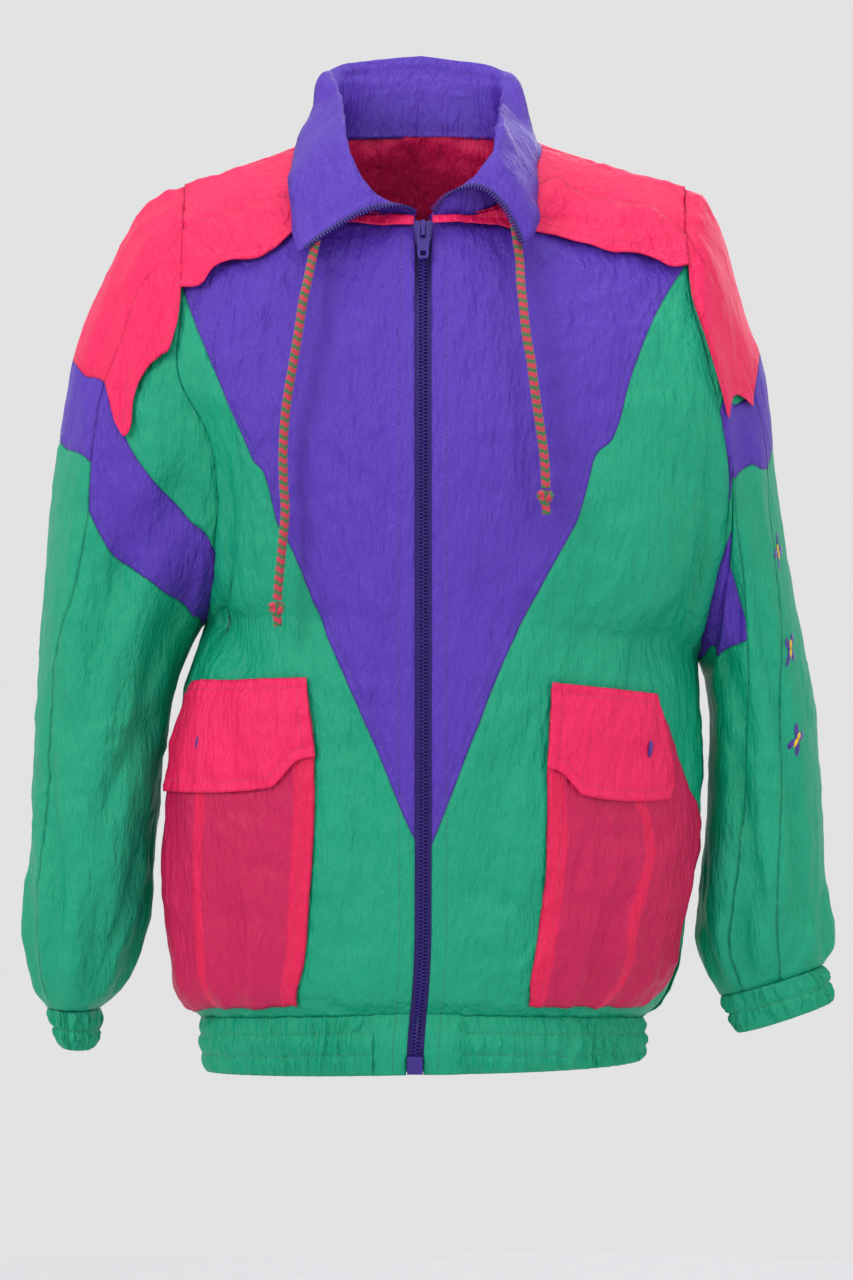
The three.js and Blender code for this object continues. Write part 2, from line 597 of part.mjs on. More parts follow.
function buildBack() {
  const across = (from, to) => (u, w) => {
    const [side, p] = backQuarter(u);
    return bodyPlace(side, p, mix(from(side, p), to(side, p), w));
  };
  const rowsFor = (from, to, count) => (i) => {
    if (i === 0) return sideRows(-1, from(-1), to(-1), false);
    return i === backUs.length - 1 ? sideRows(1, from(1), to(1), false) : evenly(count);
  };
  const vEnd = (side) => backVK(side, 1);
  const attachEnd = () => backAttach(1);
  add(jacket, 'back_lower', panel(across(() => 2, backVK), backUs, rowsFor(() => 2, vEnd, 8)), GREEN);
  const upper = across(backVK, (side, p) => backAttach(p));
  add(jacket, 'back_upper', panel(upper, backUs, rowsFor(vEnd, attachEnd, 6)), PURPLE);
  const flap = across((side, p) => backEdge(p), (side, p) => backAttach(p));
  add(jacket, 'back_flap', panel(flap, backUs, () => evenly(2), flapLayer, [0.9, 0.9, 0, 0.8]), PINK);
  const yoke = (u, w) => {
    const [side, p] = backQuarter(u);
    const q = 1 - p;
    const topP = Math.max(0, 1 - q / SHOULDER_SHARE);
    const topK = 1 + (1 - NAPE_H) * clamp01((q - SHOULDER_SHARE) / (1 - SHOULDER_SHARE));
    return bodyPlace(side, mix(topP, p, w), mix(topK, backAttach(p), w));
  };
  const ends = (side) => sideRows(side, 1, attachEnd(), false);
  const yokeRows = (i) => {
    if (i === 0) return ends(-1);
    return i === backUs.length - 1 ? ends(1) : evenly(4);
  };
  add(jacket, 'back_yoke', panel(yoke, backUs, yokeRows), PINK);
}

// Seams on the sleeves, by ring t and angle round from the outer line
const LONG_SEAM = {
  '-1': table(['t', 'front'], [
    [0, 50], [0.255, 55.5], [0.36, 62], [0.45, 66], [0.55, 62], [0.65, 48], [0.8, 42], [1, 48],
  ]),
  1: table(['t', 'front'], [[0, 45], [0.255, 45], [0.38, 46], [0.5, 53], [0.6, 67], [0.78, 76], [1, 84]]),
};
const BACK_SEAM_ANGLE = 55.5;
const GUSSET_TIP = 0.255;
const GUSSET_END = 0.25;
const PLAIN_LINES = {
  flap: table(['t', 'attach', 'edge'], [
    [0, 30, 68], [0.013, 32.5, 76], [0.05, 40, 76], [0.11, 45, 75], [0.14, 49, 74.5], [0.17, 53, 76],
    [0.197, 54.5, 80], [0.237, 55.5, 77.5], [0.255, 55.5, 70],
  ]),
  bandTop: table(['t', 'around'], [
    [0, 150], [0.03, 146], [0.075, 138], [0.123, 126.5], [0.16, 111], [0.193, 95.5], [0.237, 74], [0.255, 55.5],
  ]),
  bandBottom: table(['t', 'around'], [
    [0.02, 180], [0.08, 168], [0.157, 157], [0.24, 133.5], [0.29, 120], [0.36, 105], [0.413, 89.5],
    [0.428, 76], [0.434, 55],
  ]),
};
const RIGHT_FRONT_LINES = {
  flap: table(['t', 'attach', 'edge'], [
    [0, 30, 64], [0.012, 34, 80], [0.03, 38, 93], [0.055, 41, 99], [0.08, 41, 95], [0.12, 41, 80],
    [0.16, 42, 66], [0.2, 43, 58], [0.255, 45, 52],
  ]),
  bandTop: table(['t', 'around'], [
    [0, 105], [0.03, 99], [0.07, 90], [0.12, 78], [0.18, 64], [0.23, 51], [0.255, 45],
  ]),
  bandBottom: table(['t', 'around'], [
    [0, 135], [0.06, 121], [0.123, 106.5], [0.2, 86], [0.273, 70], [0.32, 58], [0.355, 45],
  ]),
};
// Right underarm band, seen below a fold of the sleeve
const RIGHT_UNDER_TOP = table(['t', 'around'], [
  [0, 150], [0.03, 143], [0.09, 133], [0.18, 120], [0.267, 109], [0.36, 103], [0.44, 96],
]);
const RIGHT_UNDER_BOTTOM = table(['t', 'around'], [
  [0.012, 180], [0.12, 165], [0.23, 150], [0.32, 133.5], [0.4, 116], [0.445, 101], [0.455, 94],
]);
const CAP_END = {
  '-1': table(['share', 't'], [[0, 0.255], [0.4, 0.31], [1, 0.335]]),
  1: table(['share', 't'], [[0, 0.255], [0.4, 0.264], [1, 0.27]]),
};
const BAND_END = {
  '-1': table(['share', 't'], [[0, 0.366], [0.5, 0.42], [1, 0.447]]),
  1: table(['share', 't'], [[0, 0.355], [0.5, 0.37], [1, 0.38]]),
};
const UNDER_ANGLES = {
  '-1': [50, 64, 80, 97, 114, 132, 150, 160, 170, 180, 190, 200, 210, 226, 242, 258, 274, 290, 304.5],
  1: [45, 58, 71, 84, 96, 100, 105, 120, 135, 150, 160, 170, 180, 190, 200, 210, 226, 242, 258, 274, 290, 304.5],
};
const RIGHT_FOLD_ANGLE = 96;
const OUTER_COLUMNS = evenly(6);
const LONG_SEAM_STEP = 0.065;
const UNDER_ROWS = 8;

const frontSeam = (side, t) => read(LONG_SEAM[side], 't', 'front', t);
const underAngle = (side, u, t) => mix(frontSeam(side, t), 360 - BACK_SEAM_ANGLE, u);
const outerAngle = (side, u, t) => mix(-BACK_SEAM_ANGLE, frontSeam(side, t), u);
const underU = (side, angle) => {
  const first = UNDER_ANGLES[side][0];
  return (angle - first) / (UNDER_ANGLES[side].at(-1) - first);
};

// Ring t at which column u of the under part meets a line whose angle falls as t grows
function columnCross(side, u, line) {
  const last = line.length - 1;
  const folded = (t) => {
    const around = underAngle(side, u, t);
    return around > 180 ? 360 - around : around;
  };
  const below = (t) => read(line, 't', 'around', t) > folded(t);
  if (!below(line[0].t)) return line[0].t;
  if (below(line[last].t)) return line[last].t;
  let a = line[0].t;
  let b = line[last].t;
  for (let i = 0; i < 20; i += 1) {
    const t = (a + b) / 2;
    if (below(t)) a = t;
    else b = t;
  }
  return (a + b) / 2;
}

// Rows of a column between two rings, at the rings that its neighbours list too
function sharedRows(from, to, rings) {
  const shares = rings.map((t) => (t - from) / (to - from)).filter((w) => w > 0.02 && w < 0.98);
  return [0, ...shares.sort((a, b) => a - b), 1];
}

function buildSleeve(side) {
  const name = SIDE_NAME[side];
  const arm = new THREE.Group();
  jacket.add(arm);
  const isRight = side === 1;
  const linesOf = (isFront) => (isRight && isFront ? RIGHT_FRONT_LINES : PLAIN_LINES);
  const attach = (isFront, t) => {
    if (t < GUSSET_TIP) return read(linesOf(isFront).flap, 't', 'attach', t);
    return isFront ? frontSeam(side, t) : BACK_SEAM_ANGLE;
  };
  const us = UNDER_ANGLES[side].map((angle) => underU(side, angle));
  const isFrontU = (u) => underAngle(side, u, 0) <= 180;
  const topOf = (u) => columnCross(side, u, linesOf(isFrontU(u)).bandTop);
  const bottomOf = (u) => columnCross(side, u, linesOf(isFrontU(u)).bandBottom);

  // Rings at which the gusset's long edges have their rows
  const gussetRings = (isFront) => us
    .filter((u) => isFrontU(u) === isFront)
    .map(topOf)
    .filter((t) => t > 0.004 && t < GUSSET_END - 0.004);
  const seamRings = (isFront) => {
    const corners = [GUSSET_TIP, BAND_END[side][0].t, bottomOf(isFront ? 0 : 1)];
    const steps = [];
    for (let t = GUSSET_TIP + LONG_SEAM_STEP; t < 1; t += LONG_SEAM_STEP) {
      if (corners.every((corner) => Math.abs(corner - t) > LONG_SEAM_STEP / 3)) steps.push(t);
    }
    return [...corners, ...steps];
  };

  const share = (u) => 1 - Math.abs(2 * u - 1);
  const capEnd = (u) => read(CAP_END[side], 'share', 't', share(u));
  const bandEnd = (u) => read(BAND_END[side], 'share', 't', share(u));
  const cap = (u, w) => {
    const t = capEnd(u) * w;
    return sleevePlace(side, t, mix(-attach(false, t), attach(true, t), u));
  };
  const edgeRows = (count, from, to, ringsOf, list) => (i) => {
    if (i === 0) return sharedRows(from(list[0]), to(list[0]), ringsOf(false));
    if (i === list.length - 1) return sharedRows(from(1), to(1), ringsOf(true));
    return evenly(count);
  };
  const start = () => 0;
  const end = () => 1;
  const capRows = edgeRows(7, start, capEnd, gussetRings, OUTER_COLUMNS);
  add(arm, `sleeve_cap_${name}`, panel(cap, OUTER_COLUMNS, capRows), PINK);
  const strip = (from, to) => (u, w) => {
    const t = mix(from(u), to(u), w);
    return sleevePlace(side, t, outerAngle(side, u, t));
  };
  const bandRows = edgeRows(3, capEnd, bandEnd, seamRings, OUTER_COLUMNS);
  add(arm, `sleeve_band_${name}`, panel(strip(capEnd, bandEnd), OUTER_COLUMNS, bandRows), PURPLE);
  const outerRows = edgeRows(9, bandEnd, end, seamRings, OUTER_COLUMNS);
  add(arm, `sleeve_outer_${name}`, panel(strip(bandEnd, end), OUTER_COLUMNS, outerRows), GREEN);

  [true, false].forEach((isFront) => {
    const turn = isFront ? 1 : -1;
    const where = isFront ? 'front' : 'back';
    const flapLine = linesOf(isFront).flap;
    const first = linesOf(isFront).bandTop[0].around;
    const angles = armholeAngles(side, isFront).filter((angle) => angle >= CAP_EDGE && angle <= first);
    const gussetUs = angles.map((angle) => (angle - CAP_EDGE) / (first - CAP_EDGE)).reverse();
    // The gusset's lower edge runs straight between the columns of the band below it
    const bandEdge = us.filter((u) => isFrontU(u) === isFront).map((u) => {
      const t = topOf(u);
      const around = underAngle(side, u, t);
      return { t, around: around > 180 ? 360 - around : around };
    }).filter(({ t }) => t > 0.004);
    bandEdge.push({ t: 0, around: first });
    bandEdge.sort((x, y) => x.t - y.t);
    const edgeAngle = (t) => {
      const after = Math.max(1, bandEdge.findIndex((row) => row.t > t));
      const [x, y] = [bandEdge[after - 1], bandEdge[after]];
      return mix(x.around, y.around, (t - x.t) / (y.t - x.t));
    };
    const gusset = (u, w) => {
      const t = GUSSET_END * w;
      return sleevePlace(side, t, turn * mix(attach(isFront, t), edgeAngle(t), u));
    };
    const rows = sharedRows(0, GUSSET_END, gussetRings(isFront));
    const gussetRows = (i) => (i === 0 || i === gussetUs.length - 1 ? rows : evenly(6));
    add(arm, `sleeve_gusset_${where}_${name}`, panel(gusset, gussetUs, gussetRows), GREEN);
    const flap = (u, w) => {
      const t = GUSSET_TIP * w;
      const around = mix(attach(isFront, t), read(flapLine, 't', 'edge', t), u);
      return sleevePlace(side, t, turn * around);
    };
    const layer = (u) => {
      const low = mix(SLEEVE_FLAP_GAP, FLAP_LIFT, u);
      return [low, low + CLOTH];
    };
    const margin = [0.8, 0, 0.9, 0.5];
    add(arm, `sleeve_flap_${where}_${name}`, panel(flap, evenly(3), () => evenly(9), layer, margin), PINK);
  });

  const under = (from, to) => (u, w) => {
    const t = mix(from(u), to(u), w);
    return sleevePlace(side, t, underAngle(side, u, t));
  };
  const underTop = (u) => (isFrontU(u) ? columnCross(side, u, RIGHT_UNDER_TOP) : topOf(u));
  const underBottom = (u) => (isFrontU(u) ? columnCross(side, u, RIGHT_UNDER_BOTTOM) : bottomOf(u));
  const foldU = underU(side, RIGHT_FOLD_ANGLE);
  const steps = evenly(12).map((x) => mix(0.17, 1, x));
  const foldCorners = [bottomOf(foldU), underTop(foldU), underBottom(foldU)];
  const foldRings = [...foldCorners, ...steps.filter((t) => foldCorners.every((c) => Math.abs(c - t) > 0.02))];
  const rowsBetween = (from, to, count, list) => (i) => {
    const u = list[i];
    if (isRight && u === foldU) return sharedRows(from(u), to(u), foldRings);
    if (u === 0) return sharedRows(from(u), to(u), seamRings(true));
    return u === 1 ? sharedRows(from(u), to(u), seamRings(false)) : evenly(count);
  };
  const put = (piece, from, to, count, list, color) => {
    const rows = rowsBetween(from, to, count, list);
    add(arm, `${piece}_${name}`, panel(under(from, to), list, rows), color);
  };
  if (!isRight) {
    put('sleeve_under_band', topOf, bottomOf, 3, us, PURPLE);
    put('sleeve_under', bottomOf, end, UNDER_ROWS, us, GREEN);
    buildCuff(side, arm);
    return;
  }
  const bandTip = underU(side, 133.5);
  const foldTip = underU(side, 148.5);
  const upTo = (limit) => us.filter((u) => u < limit - 0.02);
  put('sleeve_front_band', topOf, bottomOf, 3, [...upTo(bandTip), bandTip], PURPLE);
  const foldColumns = [...upTo(foldTip).filter((u) => u > foldU - 1e-6), foldTip, bandTip].sort((x, y) => x - y);
  put('sleeve_fold', bottomOf, underTop, 4, foldColumns, GREEN);
  const foldOn = us.filter((u) => u > foldU - 1e-6);
  put('sleeve_under_band', underTop, underBottom, 3, foldOn, PURPLE);
  put('sleeve_under_front', bottomOf, end, UNDER_ROWS, us.filter((u) => u < foldU + 1e-6), GREEN);
  put('sleeve_under_back', underBottom, end, UNDER_ROWS, foldOn, GREEN);
  buildCuff(side, arm);
}

// Cuffs: gathered bands hanging from the sleeve ends
const CUFF = {
  '-1': table(['v', 'ox', 'oz', 'ix', 'iz', 'depth'], [
    [0, 273, -625.6, 234, -626.6, 36], [0.5, 270, -639, 234, -643, 35], [1, 264, -654, 238, -656, 33],
  ]),
  1: table(['v', 'ox', 'oz', 'ix', 'iz', 'depth'], [
    [0, 294, -594.6, 218, -617.6, 29], [0.5, 299, -607, 223, -631, 29], [1, 302, -621, 230, -645, 28],
  ]),
};
const CUFF_GATHERS = 16;
const GATHER_DEPTH = 1.6;

function buildCuff(side, arm) {
  const rows = CUFF[side];
  const count = CUFF_GATHERS * 2;
  const levels = evenly(3);
  const columns = evenly(count).slice(0, -1).map((share, c) => levels.map((w) => {
    const get = (column) => read(rows, 'v', column, w);
    const o = vec(side * get('ox'), 1, get('oz'));
    const i = vec(side * get('ix'), 1, get('iz'));
    const middle = o.clone().add(i).multiplyScalar(0.5);
    const half = o.clone().sub(i).multiplyScalar(0.5);
    const unit = half.clone().normalize();
    const turn = 2 * Math.PI * share;
    const ripple = c % 2 ? -GATHER_DEPTH : 0;
    const at = (inward) => middle.clone()
      .addScaledVector(unit, (half.length() + ripple - inward) * Math.cos(turn))
      .add(vec(0, -(get('depth') + ripple - inward) * Math.sin(turn), 0));
    return { w, outer: at(0), inner: at(CLOTH) };
  }));
  add(arm, `cuff_${SIDE_NAME[side]}`, wallGeometry(columns, true), GREEN);
}

// Waistband: a gathered elastic band with a flat tab at each side of the zip
const BAND = table(['v', 'frontY', 'frontZ', 'backY', 'backZ'], [
  [0, -114, -621.6, 113, -621.6], [0.5, -116, -643, 115, -643], [1, -112, -664.5, 111, -664.5],
]);
const BAND_SIDE = {
  '-1': table(['v', 'x', 'z'], [[0, 161, -633.6], [0.5, 162, -652], [1, 158, -672.5]]),
  1: table(['v', 'x', 'z'], [[0, 162, -633.6], [0.5, 164, -649], [1, 162, -663.5]]),
};
const TAB_END_P = 0.115;
const BAND_GATHERS = 74;

function bandPoint(side, p, v, isFront) {
  const y = read(BAND, 'v', isFront ? 'frontY' : 'backY', v);
  const from = vec(0, y, read(BAND, 'v', isFront ? 'frontZ' : 'backZ', v));
  const rows = BAND_SIDE[side];
  const to = vec(side * read(rows, 'v', 'x', v), 2, read(rows, 'v', 'z', v));
  const d = to.clone().sub(from);
  const point = hermite(from, to, vec(QUARTER_ROUND * d.x, 0, d.z), vec(0, QUARTER_ROUND * d.y, d.z), p);
  if (isFront) point.x += read(ZIP_DRIFT, 'z', 'x', point.z) * (1 - smooth(0, 0.5, p));
  return point;
}

function bandPlace(side, p, v, isFront) {
  const ahead = bandPoint(side, Math.min(1, p + 0.01), v, isFront);
  const way = ahead.sub(bandPoint(side, Math.max(0, p - 0.01), v, isFront));
  const turn = side * (isFront ? 1 : -1);
  const out = vec(way.y * turn, -way.x * turn, 0).normalize();
  return { point: bandPoint(side, p, v, isFront), out: () => out };
}

function buildWaistband() {
  SIDES.forEach((side) => {
    const tab = (u, w) => bandPlace(side, TAB_END_P * u, 1 - w, true);
    const margin = [PLACKET_HALF, 0.3, 0, 0];
    const geometry = panel(tab, evenly(2), () => evenly(2), () => [-CLOTH, 0], margin);
    add(jacket, `waistband_tab_${SIDE_NAME[side]}`, geometry, GREEN);
  });
  const frontShare = 0.235;
  const where = (s) => {
    if (s < frontShare) return [-1, mix(TAB_END_P + 0.004, 1, s / frontShare), true];
    if (s < 0.5) return [-1, 1 - (s - frontShare) / (0.5 - frontShare), false];
    if (s < 1 - frontShare) return [1, (s - 0.5) / (0.5 - frontShare), false];
    return [1, mix(1, TAB_END_P + 0.004, (s - 1 + frontShare) / frontShare), true];
  };
  const columns = evenly(BAND_GATHERS * 2).map((s, i) => evenly(2).map((w) => {
    const [side, p, isFront] = where(s);
    const { point, out } = bandPlace(side, p, w, isFront);
    const ripple = (i % 2 ? -GATHER_DEPTH : 0.6) * (w === 0 ? 0.5 : 1);
    return {
      w,
      outer: point.clone().addScaledVector(out(), ripple),
      inner: point.clone().addScaledVector(out(), ripple - CLOTH),
    };
  }));
  add(jacket, 'waistband_elastic', wallGeometry(columns), GREEN);
}

// Collar: a stand collar of three stations per rib, the neckline, the crest of its roll and its free edge
const COLLAR_COLUMNS = ['around', 'cx', 'cy', 'cz', 'ex', 'ey', 'ez'];
const COLLAR = {
  '-1': table(COLLAR_COLUMNS, [
    [0, 33, -98, -52, 86, -108, -85], [30, 42, -92, -36, 92, -92, -68], [60, 54, -66, -2, 94, -54, -28],
    [85, 58, -22, 27, 91, -10, 6], [105, 61, 8, 42, 80, 18, 30], [125, 62, 34, 46, 73, 38, 58],
    [150, 42, 62, 48, 50, 68, 72], [180, 0, 73, 50, 0, 82, 78],
  ]),
  1: table(COLLAR_COLUMNS, [
    [0, 41, -96, -37, 73, -108, -83], [30, 50, -88, -18, 82, -92, -62], [60, 56, -62, 6, 82, -54, -30],
    [85, 57, -22, 26, 84, -10, 2], [105, 58, 8, 36, 80, 14, 24], [125, 60, 34, 44, 72, 36, 52],
    [150, 42, 62, 47, 50, 68, 70], [180, 0, 73, 50, 0, 82, 78],
  ]),
};
const COLLAR_ROWS = 7;
const COLLAR_LIFT = 0.7;
const CREST_SHARE = 0.46;

function collarPoint(side, around, v) {
  const rows = COLLAR[side];
  const foot = vec(side * read(NECKLINE, 'around', 'x', around), read(NECKLINE, 'around', 'y', around),
    read(NECKLINE, 'around', 'z', around) + COLLAR_LIFT);
  foot.x += read(ZIP_DRIFT, 'z', 'x', -56) * (1 - smooth(0, 60, around)) + side * 6 * (1 - smooth(0, 25, around));
  const crest = vec(side * read(rows, 'around', 'cx', around), read(rows, 'around', 'cy', around),
    read(rows, 'around', 'cz', around));
  const edge = vec(side * read(rows, 'around', 'ex', around), read(rows, 'around', 'ey', around),
    read(rows, 'around', 'ez', around));
  // A parabola through the three places
  const c = CREST_SHARE;
  const a = ((v - c) * (v - 1)) / c;
  const b = (v * (v - 1)) / (c * (c - 1));
  const d = (v * (v - c)) / (1 - c);
  return foot.multiplyScalar(a).addScaledVector(crest, b).addScaledVector(edge, d);
}

function collarPlace(side, around, v) {
  const surface = (a, b) => collarPoint(side, a * 100, b);
  const out = () => slopeAcross(surface, around / 100, v, [0, 1.8], [0, 1]).multiplyScalar(side);
  return { point: collarPoint(side, around, v), out };
}

function buildCollar() {
  const at = (u, w) => {
    const side = u < 0.5 ? -1 : 1;
    return collarPlace(side, 180 * (1 - Math.abs(2 * u - 1)), w);
  };
  const margin = [1.5, 1.5, 0, 0];
  add(jacket, 'collar', panel(at, evenly(28), () => evenly(COLLAR_ROWS), () => [-CLOTH, 0], margin), PURPLE);
}

// A strip of square section along a line of frames, each a place with its two side directions
function stripGeometry(frames, width, low, high) {
  const corners = [[-width / 2, low], [width / 2, low], [width / 2, high], [-width / 2, high]];
  const places = frames.flatMap(({ point, across, out }) => corners.map(([x, y]) => (
    point.clone().addScaledVector(across, x).addScaledVector(out, y)
  )));
  const triangles = [];
  const last = (frames.length - 1) * 4;
  for (let j = 0; j < frames.length - 1; j += 1) {
    for (let i = 0; i < 4; i += 1) {
      const a = j * 4 + i;
      const b = j * 4 + ((i + 1) % 4);
      triangles.push(a, b, b + 4, a, b + 4, a + 4);
    }
  }
  triangles.push(0, 2, 1, 0, 3, 2, last, last + 1, last + 2, last, last + 2, last + 3);
  return closedGeometry(places, triangles);
}

// Zip
const ZIP_BOTTOM_Z = -664;
const ZIP_TOP_Z = -73;
const ZIP_CHAIN_WIDTH = 6;
const ZIP_TAPE_WIDTH = 6.5;
const TAPE_THICKNESS = 1;
const TAPE_DIP = 2.2;
const SLIDER_TOP_Z = -60.5;
const SLIDER_BOTTOM_Z = -77.5;

function zipFrame(z) {
  const y = read(FRONT_LINE, 'z', 'y', z);
  const slope = (read(FRONT_LINE, 'z', 'y', z + 1) - read(FRONT_LINE, 'z', 'y', z - 1)) / 2;
  return { point: vec(read(ZIP_DRIFT, 'z', 'x', z), y, z), across: vec(1, 0, 0), out: vec(0, -1, slope).normalize() };
}

// Heights of the rows of the panels beside the zip, so that the zip follows their bends
function zipLevels(side, from, to) {
  const v = vK(side, 0);
  const top = frontAttach(side, 0);
  const shares = [...evenly(LOWER_ROWS).map((w) => v * w), ...evenly(UPPER_ROWS).map((w) => mix(v, top, w))];
  const levels = shares.map((k) => mix(FRONT_WAIST_Z, NECK_PIT_Z, k / PIT_H));
  const between = [-643, ...levels].filter((z) => z > from + 2 && z < to - 2);
  return [from, ...between.filter((z, i) => i === 0 || z - between[i - 1] > 0.5), to];
}

const zipFrames = (side, from, to) => zipLevels(side, from, to).map(zipFrame);

let manifoldTools = null;

async function loadManifold() {
  manifoldTools = await Module();
  manifoldTools.setup();
}

function toSolid(geometry) {
  const plain = geometry.clone();
  plain.deleteAttribute('normal');
  if (plain.attributes.uv) plain.deleteAttribute('uv');
  const merged = mergeVertices(plain, 1e-4);
  return new manifoldTools.Manifold(new manifoldTools.Mesh({
    numProp: 3,
    vertProperties: new Float32Array(merged.attributes.position.array),
    triVerts: new Uint32Array(merged.index.array),
  }));
}

function fromSolid(solid) {
  const mesh = solid.getMesh();
  const geometry = new THREE.BufferGeometry();
  geometry.setAttribute('position', new THREE.Float32BufferAttribute(mesh.vertProperties, 3));
  geometry.setIndex([...mesh.triVerts]);
  geometry.computeVertexNormals();
  return geometry;
}

// Outline in x and z, with a hole or without, made into a plate that is depth thick towards -Y
function plate(outline, hole, depth) {
  const shape = new THREE.Shape(outline.map(([x, z]) => new THREE.Vector2(x, z)));
  if (hole) shape.holes.push(new THREE.Path(hole.map(([x, z]) => new THREE.Vector2(x, z))));
  const geometry = new THREE.ExtrudeGeometry(shape, { depth, bevelEnabled: false });
  geometry.rotateX(Math.PI / 2);
  return geometry;
}

function boxAt(width, depth, height, x, y, z) {
  const geometry = new THREE.BoxGeometry(width, depth, height);
  geometry.translate(x, y, z);
  return geometry;
}

// Pull tab: it hangs on a bar of its own inside the slider's bridge
const TAB_PIVOT_UP = 2.5;
const TAB_LENGTH = 26;
const TAB_TOP_HALF = 4.9;
const TAB_TIP_HALF = 3.3;
const TAB_THICKNESS = 1.6;
const BRIDGE_HALF = 1.4;
const SLIDER_FACE = 4;
const PLATE_THICKNESS = 2.2;
const TAB_REST = SLIDER_FACE + 1.5;

function buildZip() {
  const zip = new THREE.Group();
  jacket.add(zip);
  const tapeCentre = ZIP_CHAIN_WIDTH / 2 + 0.35 + ZIP_TAPE_WIDTH / 2;
  SIDES.forEach((side) => {
    const frames = zipFrames(side, ZIP_BOTTOM_Z + 1, ZIP_TOP_Z);
    frames.forEach(({ point, out }) => {
      point.addScaledVector(out, -TAPE_DIP * smooth(-125, -95, point.z));
      point.x += side * tapeCentre;
    });
    const low = -CLOTH - 0.8 - TAPE_THICKNESS;
    add(zip, `zip_tape_${SIDE_NAME[side]}`, stripGeometry(frames, ZIP_TAPE_WIDTH, low, low + TAPE_THICKNESS), ZIP_PURPLE);
  });
  const chain = zipFrames(-1, ZIP_BOTTOM_Z + 13.5, SLIDER_BOTTOM_Z + 1);
  add(zip, 'zip_chain', stripGeometry(chain, ZIP_CHAIN_WIDTH, -2.6, 0.4), ZIP_PURPLE);
  const foot = zipFrame(ZIP_BOTTOM_Z + 6.5);
  const box = boxAt(11, 4, 12.6, foot.point.x, foot.point.y - 1.4, foot.point.z);
  add(zip, 'zip_bottom_box', box, ZIP_PURPLE, 0.35);

  const seat = zipFrame((SLIDER_TOP_Z + SLIDER_BOTTOM_Z) / 2);
  const lean = Math.atan2(seat.out.z, -seat.out.y);
  const height = SLIDER_TOP_Z - SLIDER_BOTTOM_Z;
  const half = height / 2;
  const plateOutline = [[-6.8, half - 3], [-5, half], [-1.5, half - 1.5], [1.5, half - 1.5], [5, half], [6.8, half - 3],
    [5.6, -half + 1], [4.4, -half], [-4.4, -half], [-5.6, -half + 1]];
  const front = plate(plateOutline, null, PLATE_THICKNESS);
  front.translate(0, PLATE_THICKNESS - SLIDER_FACE, 0);
  const bridgeTop = half - 3;
  const bridgeBottom = -half + 3.5;
  const middle = (bridgeTop + bridgeBottom) / 2;
  const pieces = [
    front,
    boxAt(2 * BRIDGE_HALF, 4.2, 1.8, 0, -SLIDER_FACE - 1.8, bridgeTop),
    boxAt(2 * BRIDGE_HALF, 4.2, 1.8, 0, -SLIDER_FACE - 1.8, bridgeBottom),
    boxAt(2 * BRIDGE_HALF, 1.4, bridgeTop - bridgeBottom + 1.8, 0, -SLIDER_FACE - 3.6, middle),
  ];
  const solid = pieces.map(toSolid).reduce((sum, piece) => sum.add(piece));
  const sliderGeometry = fromSolid(solid);
  sliderGeometry.rotateX(-lean);
  sliderGeometry.translate(seat.point.x, seat.point.y, seat.point.z);
  add(zip, 'zip_slider', sliderGeometry, ZIP_PURPLE, 0.35);

  const pivot = pullPivot(seat);
  const armDrop = 9.5;
  const outline = [[-TAB_TOP_HALF + 1, 0.8], [TAB_TOP_HALF - 1, 0.8], [TAB_TOP_HALF, -3], [TAB_TIP_HALF + 0.6, -TAB_LENGTH + 2],
    [TAB_TIP_HALF - 0.8, -TAB_LENGTH], [-TAB_TIP_HALF + 0.8, -TAB_LENGTH], [-TAB_TIP_HALF - 0.6, -TAB_LENGTH + 2], [-TAB_TOP_HALF, -3]];
  const windowHalf = BRIDGE_HALF + 0.6;
  const window = [[-windowHalf, -armDrop], [windowHalf, -armDrop], [windowHalf, -0.8], [-windowHalf, -0.8]];
  const tabPlate = plate(outline, window, TAB_THICKNESS);
  tabPlate.translate(0, TAB_THICKNESS / 2, 0);
  const slotSize = 4;
  const slot = boxAt(slotSize, 6, slotSize, 0, 0, -TAB_LENGTH + 4.2);
  const tab = fromSolid(toSolid(tabPlate).subtract(toSolid(slot)));
  tab.rotateX(-lean);
  tab.translate(pivot.x, pivot.y, pivot.z);
  add(zip, 'zip_pull_tab', tab, ZIP_PURPLE, 0.35);

  SIDES.forEach((side) => {
    const frames = evenly(COLLAR_ROWS).map((v) => {
      const point = collarPoint(side, 0, v);
      const along = collarPoint(side, 0, Math.min(1, v + 0.01)).sub(collarPoint(side, 0, Math.max(0, v - 0.01)));
      along.normalize();
      const across = point.clone().sub(collarPoint(side, 12, v));
      across.addScaledVector(along, -across.dot(along)).normalize();
      const out = collarPlace(side, 0, v).out();
      point.addScaledVector(across, 0.8);
      return { point, across, out };
    });
    add(zip, `zip_row_${SIDE_NAME[side]}`, stripGeometry(frames, 3, -2.2, 0.6), ZIP_PURPLE);
  });
}

// Axis of the pull tab, above the middle of the slider
function pullPivot(seat) {
  const up = seat.across.clone().cross(seat.out).normalize();
  if (up.z < 0) up.negate();
  return seat.point.clone().addScaledVector(seat.out, TAB_REST).addScaledVector(up, TAB_PIVOT_UP);
}

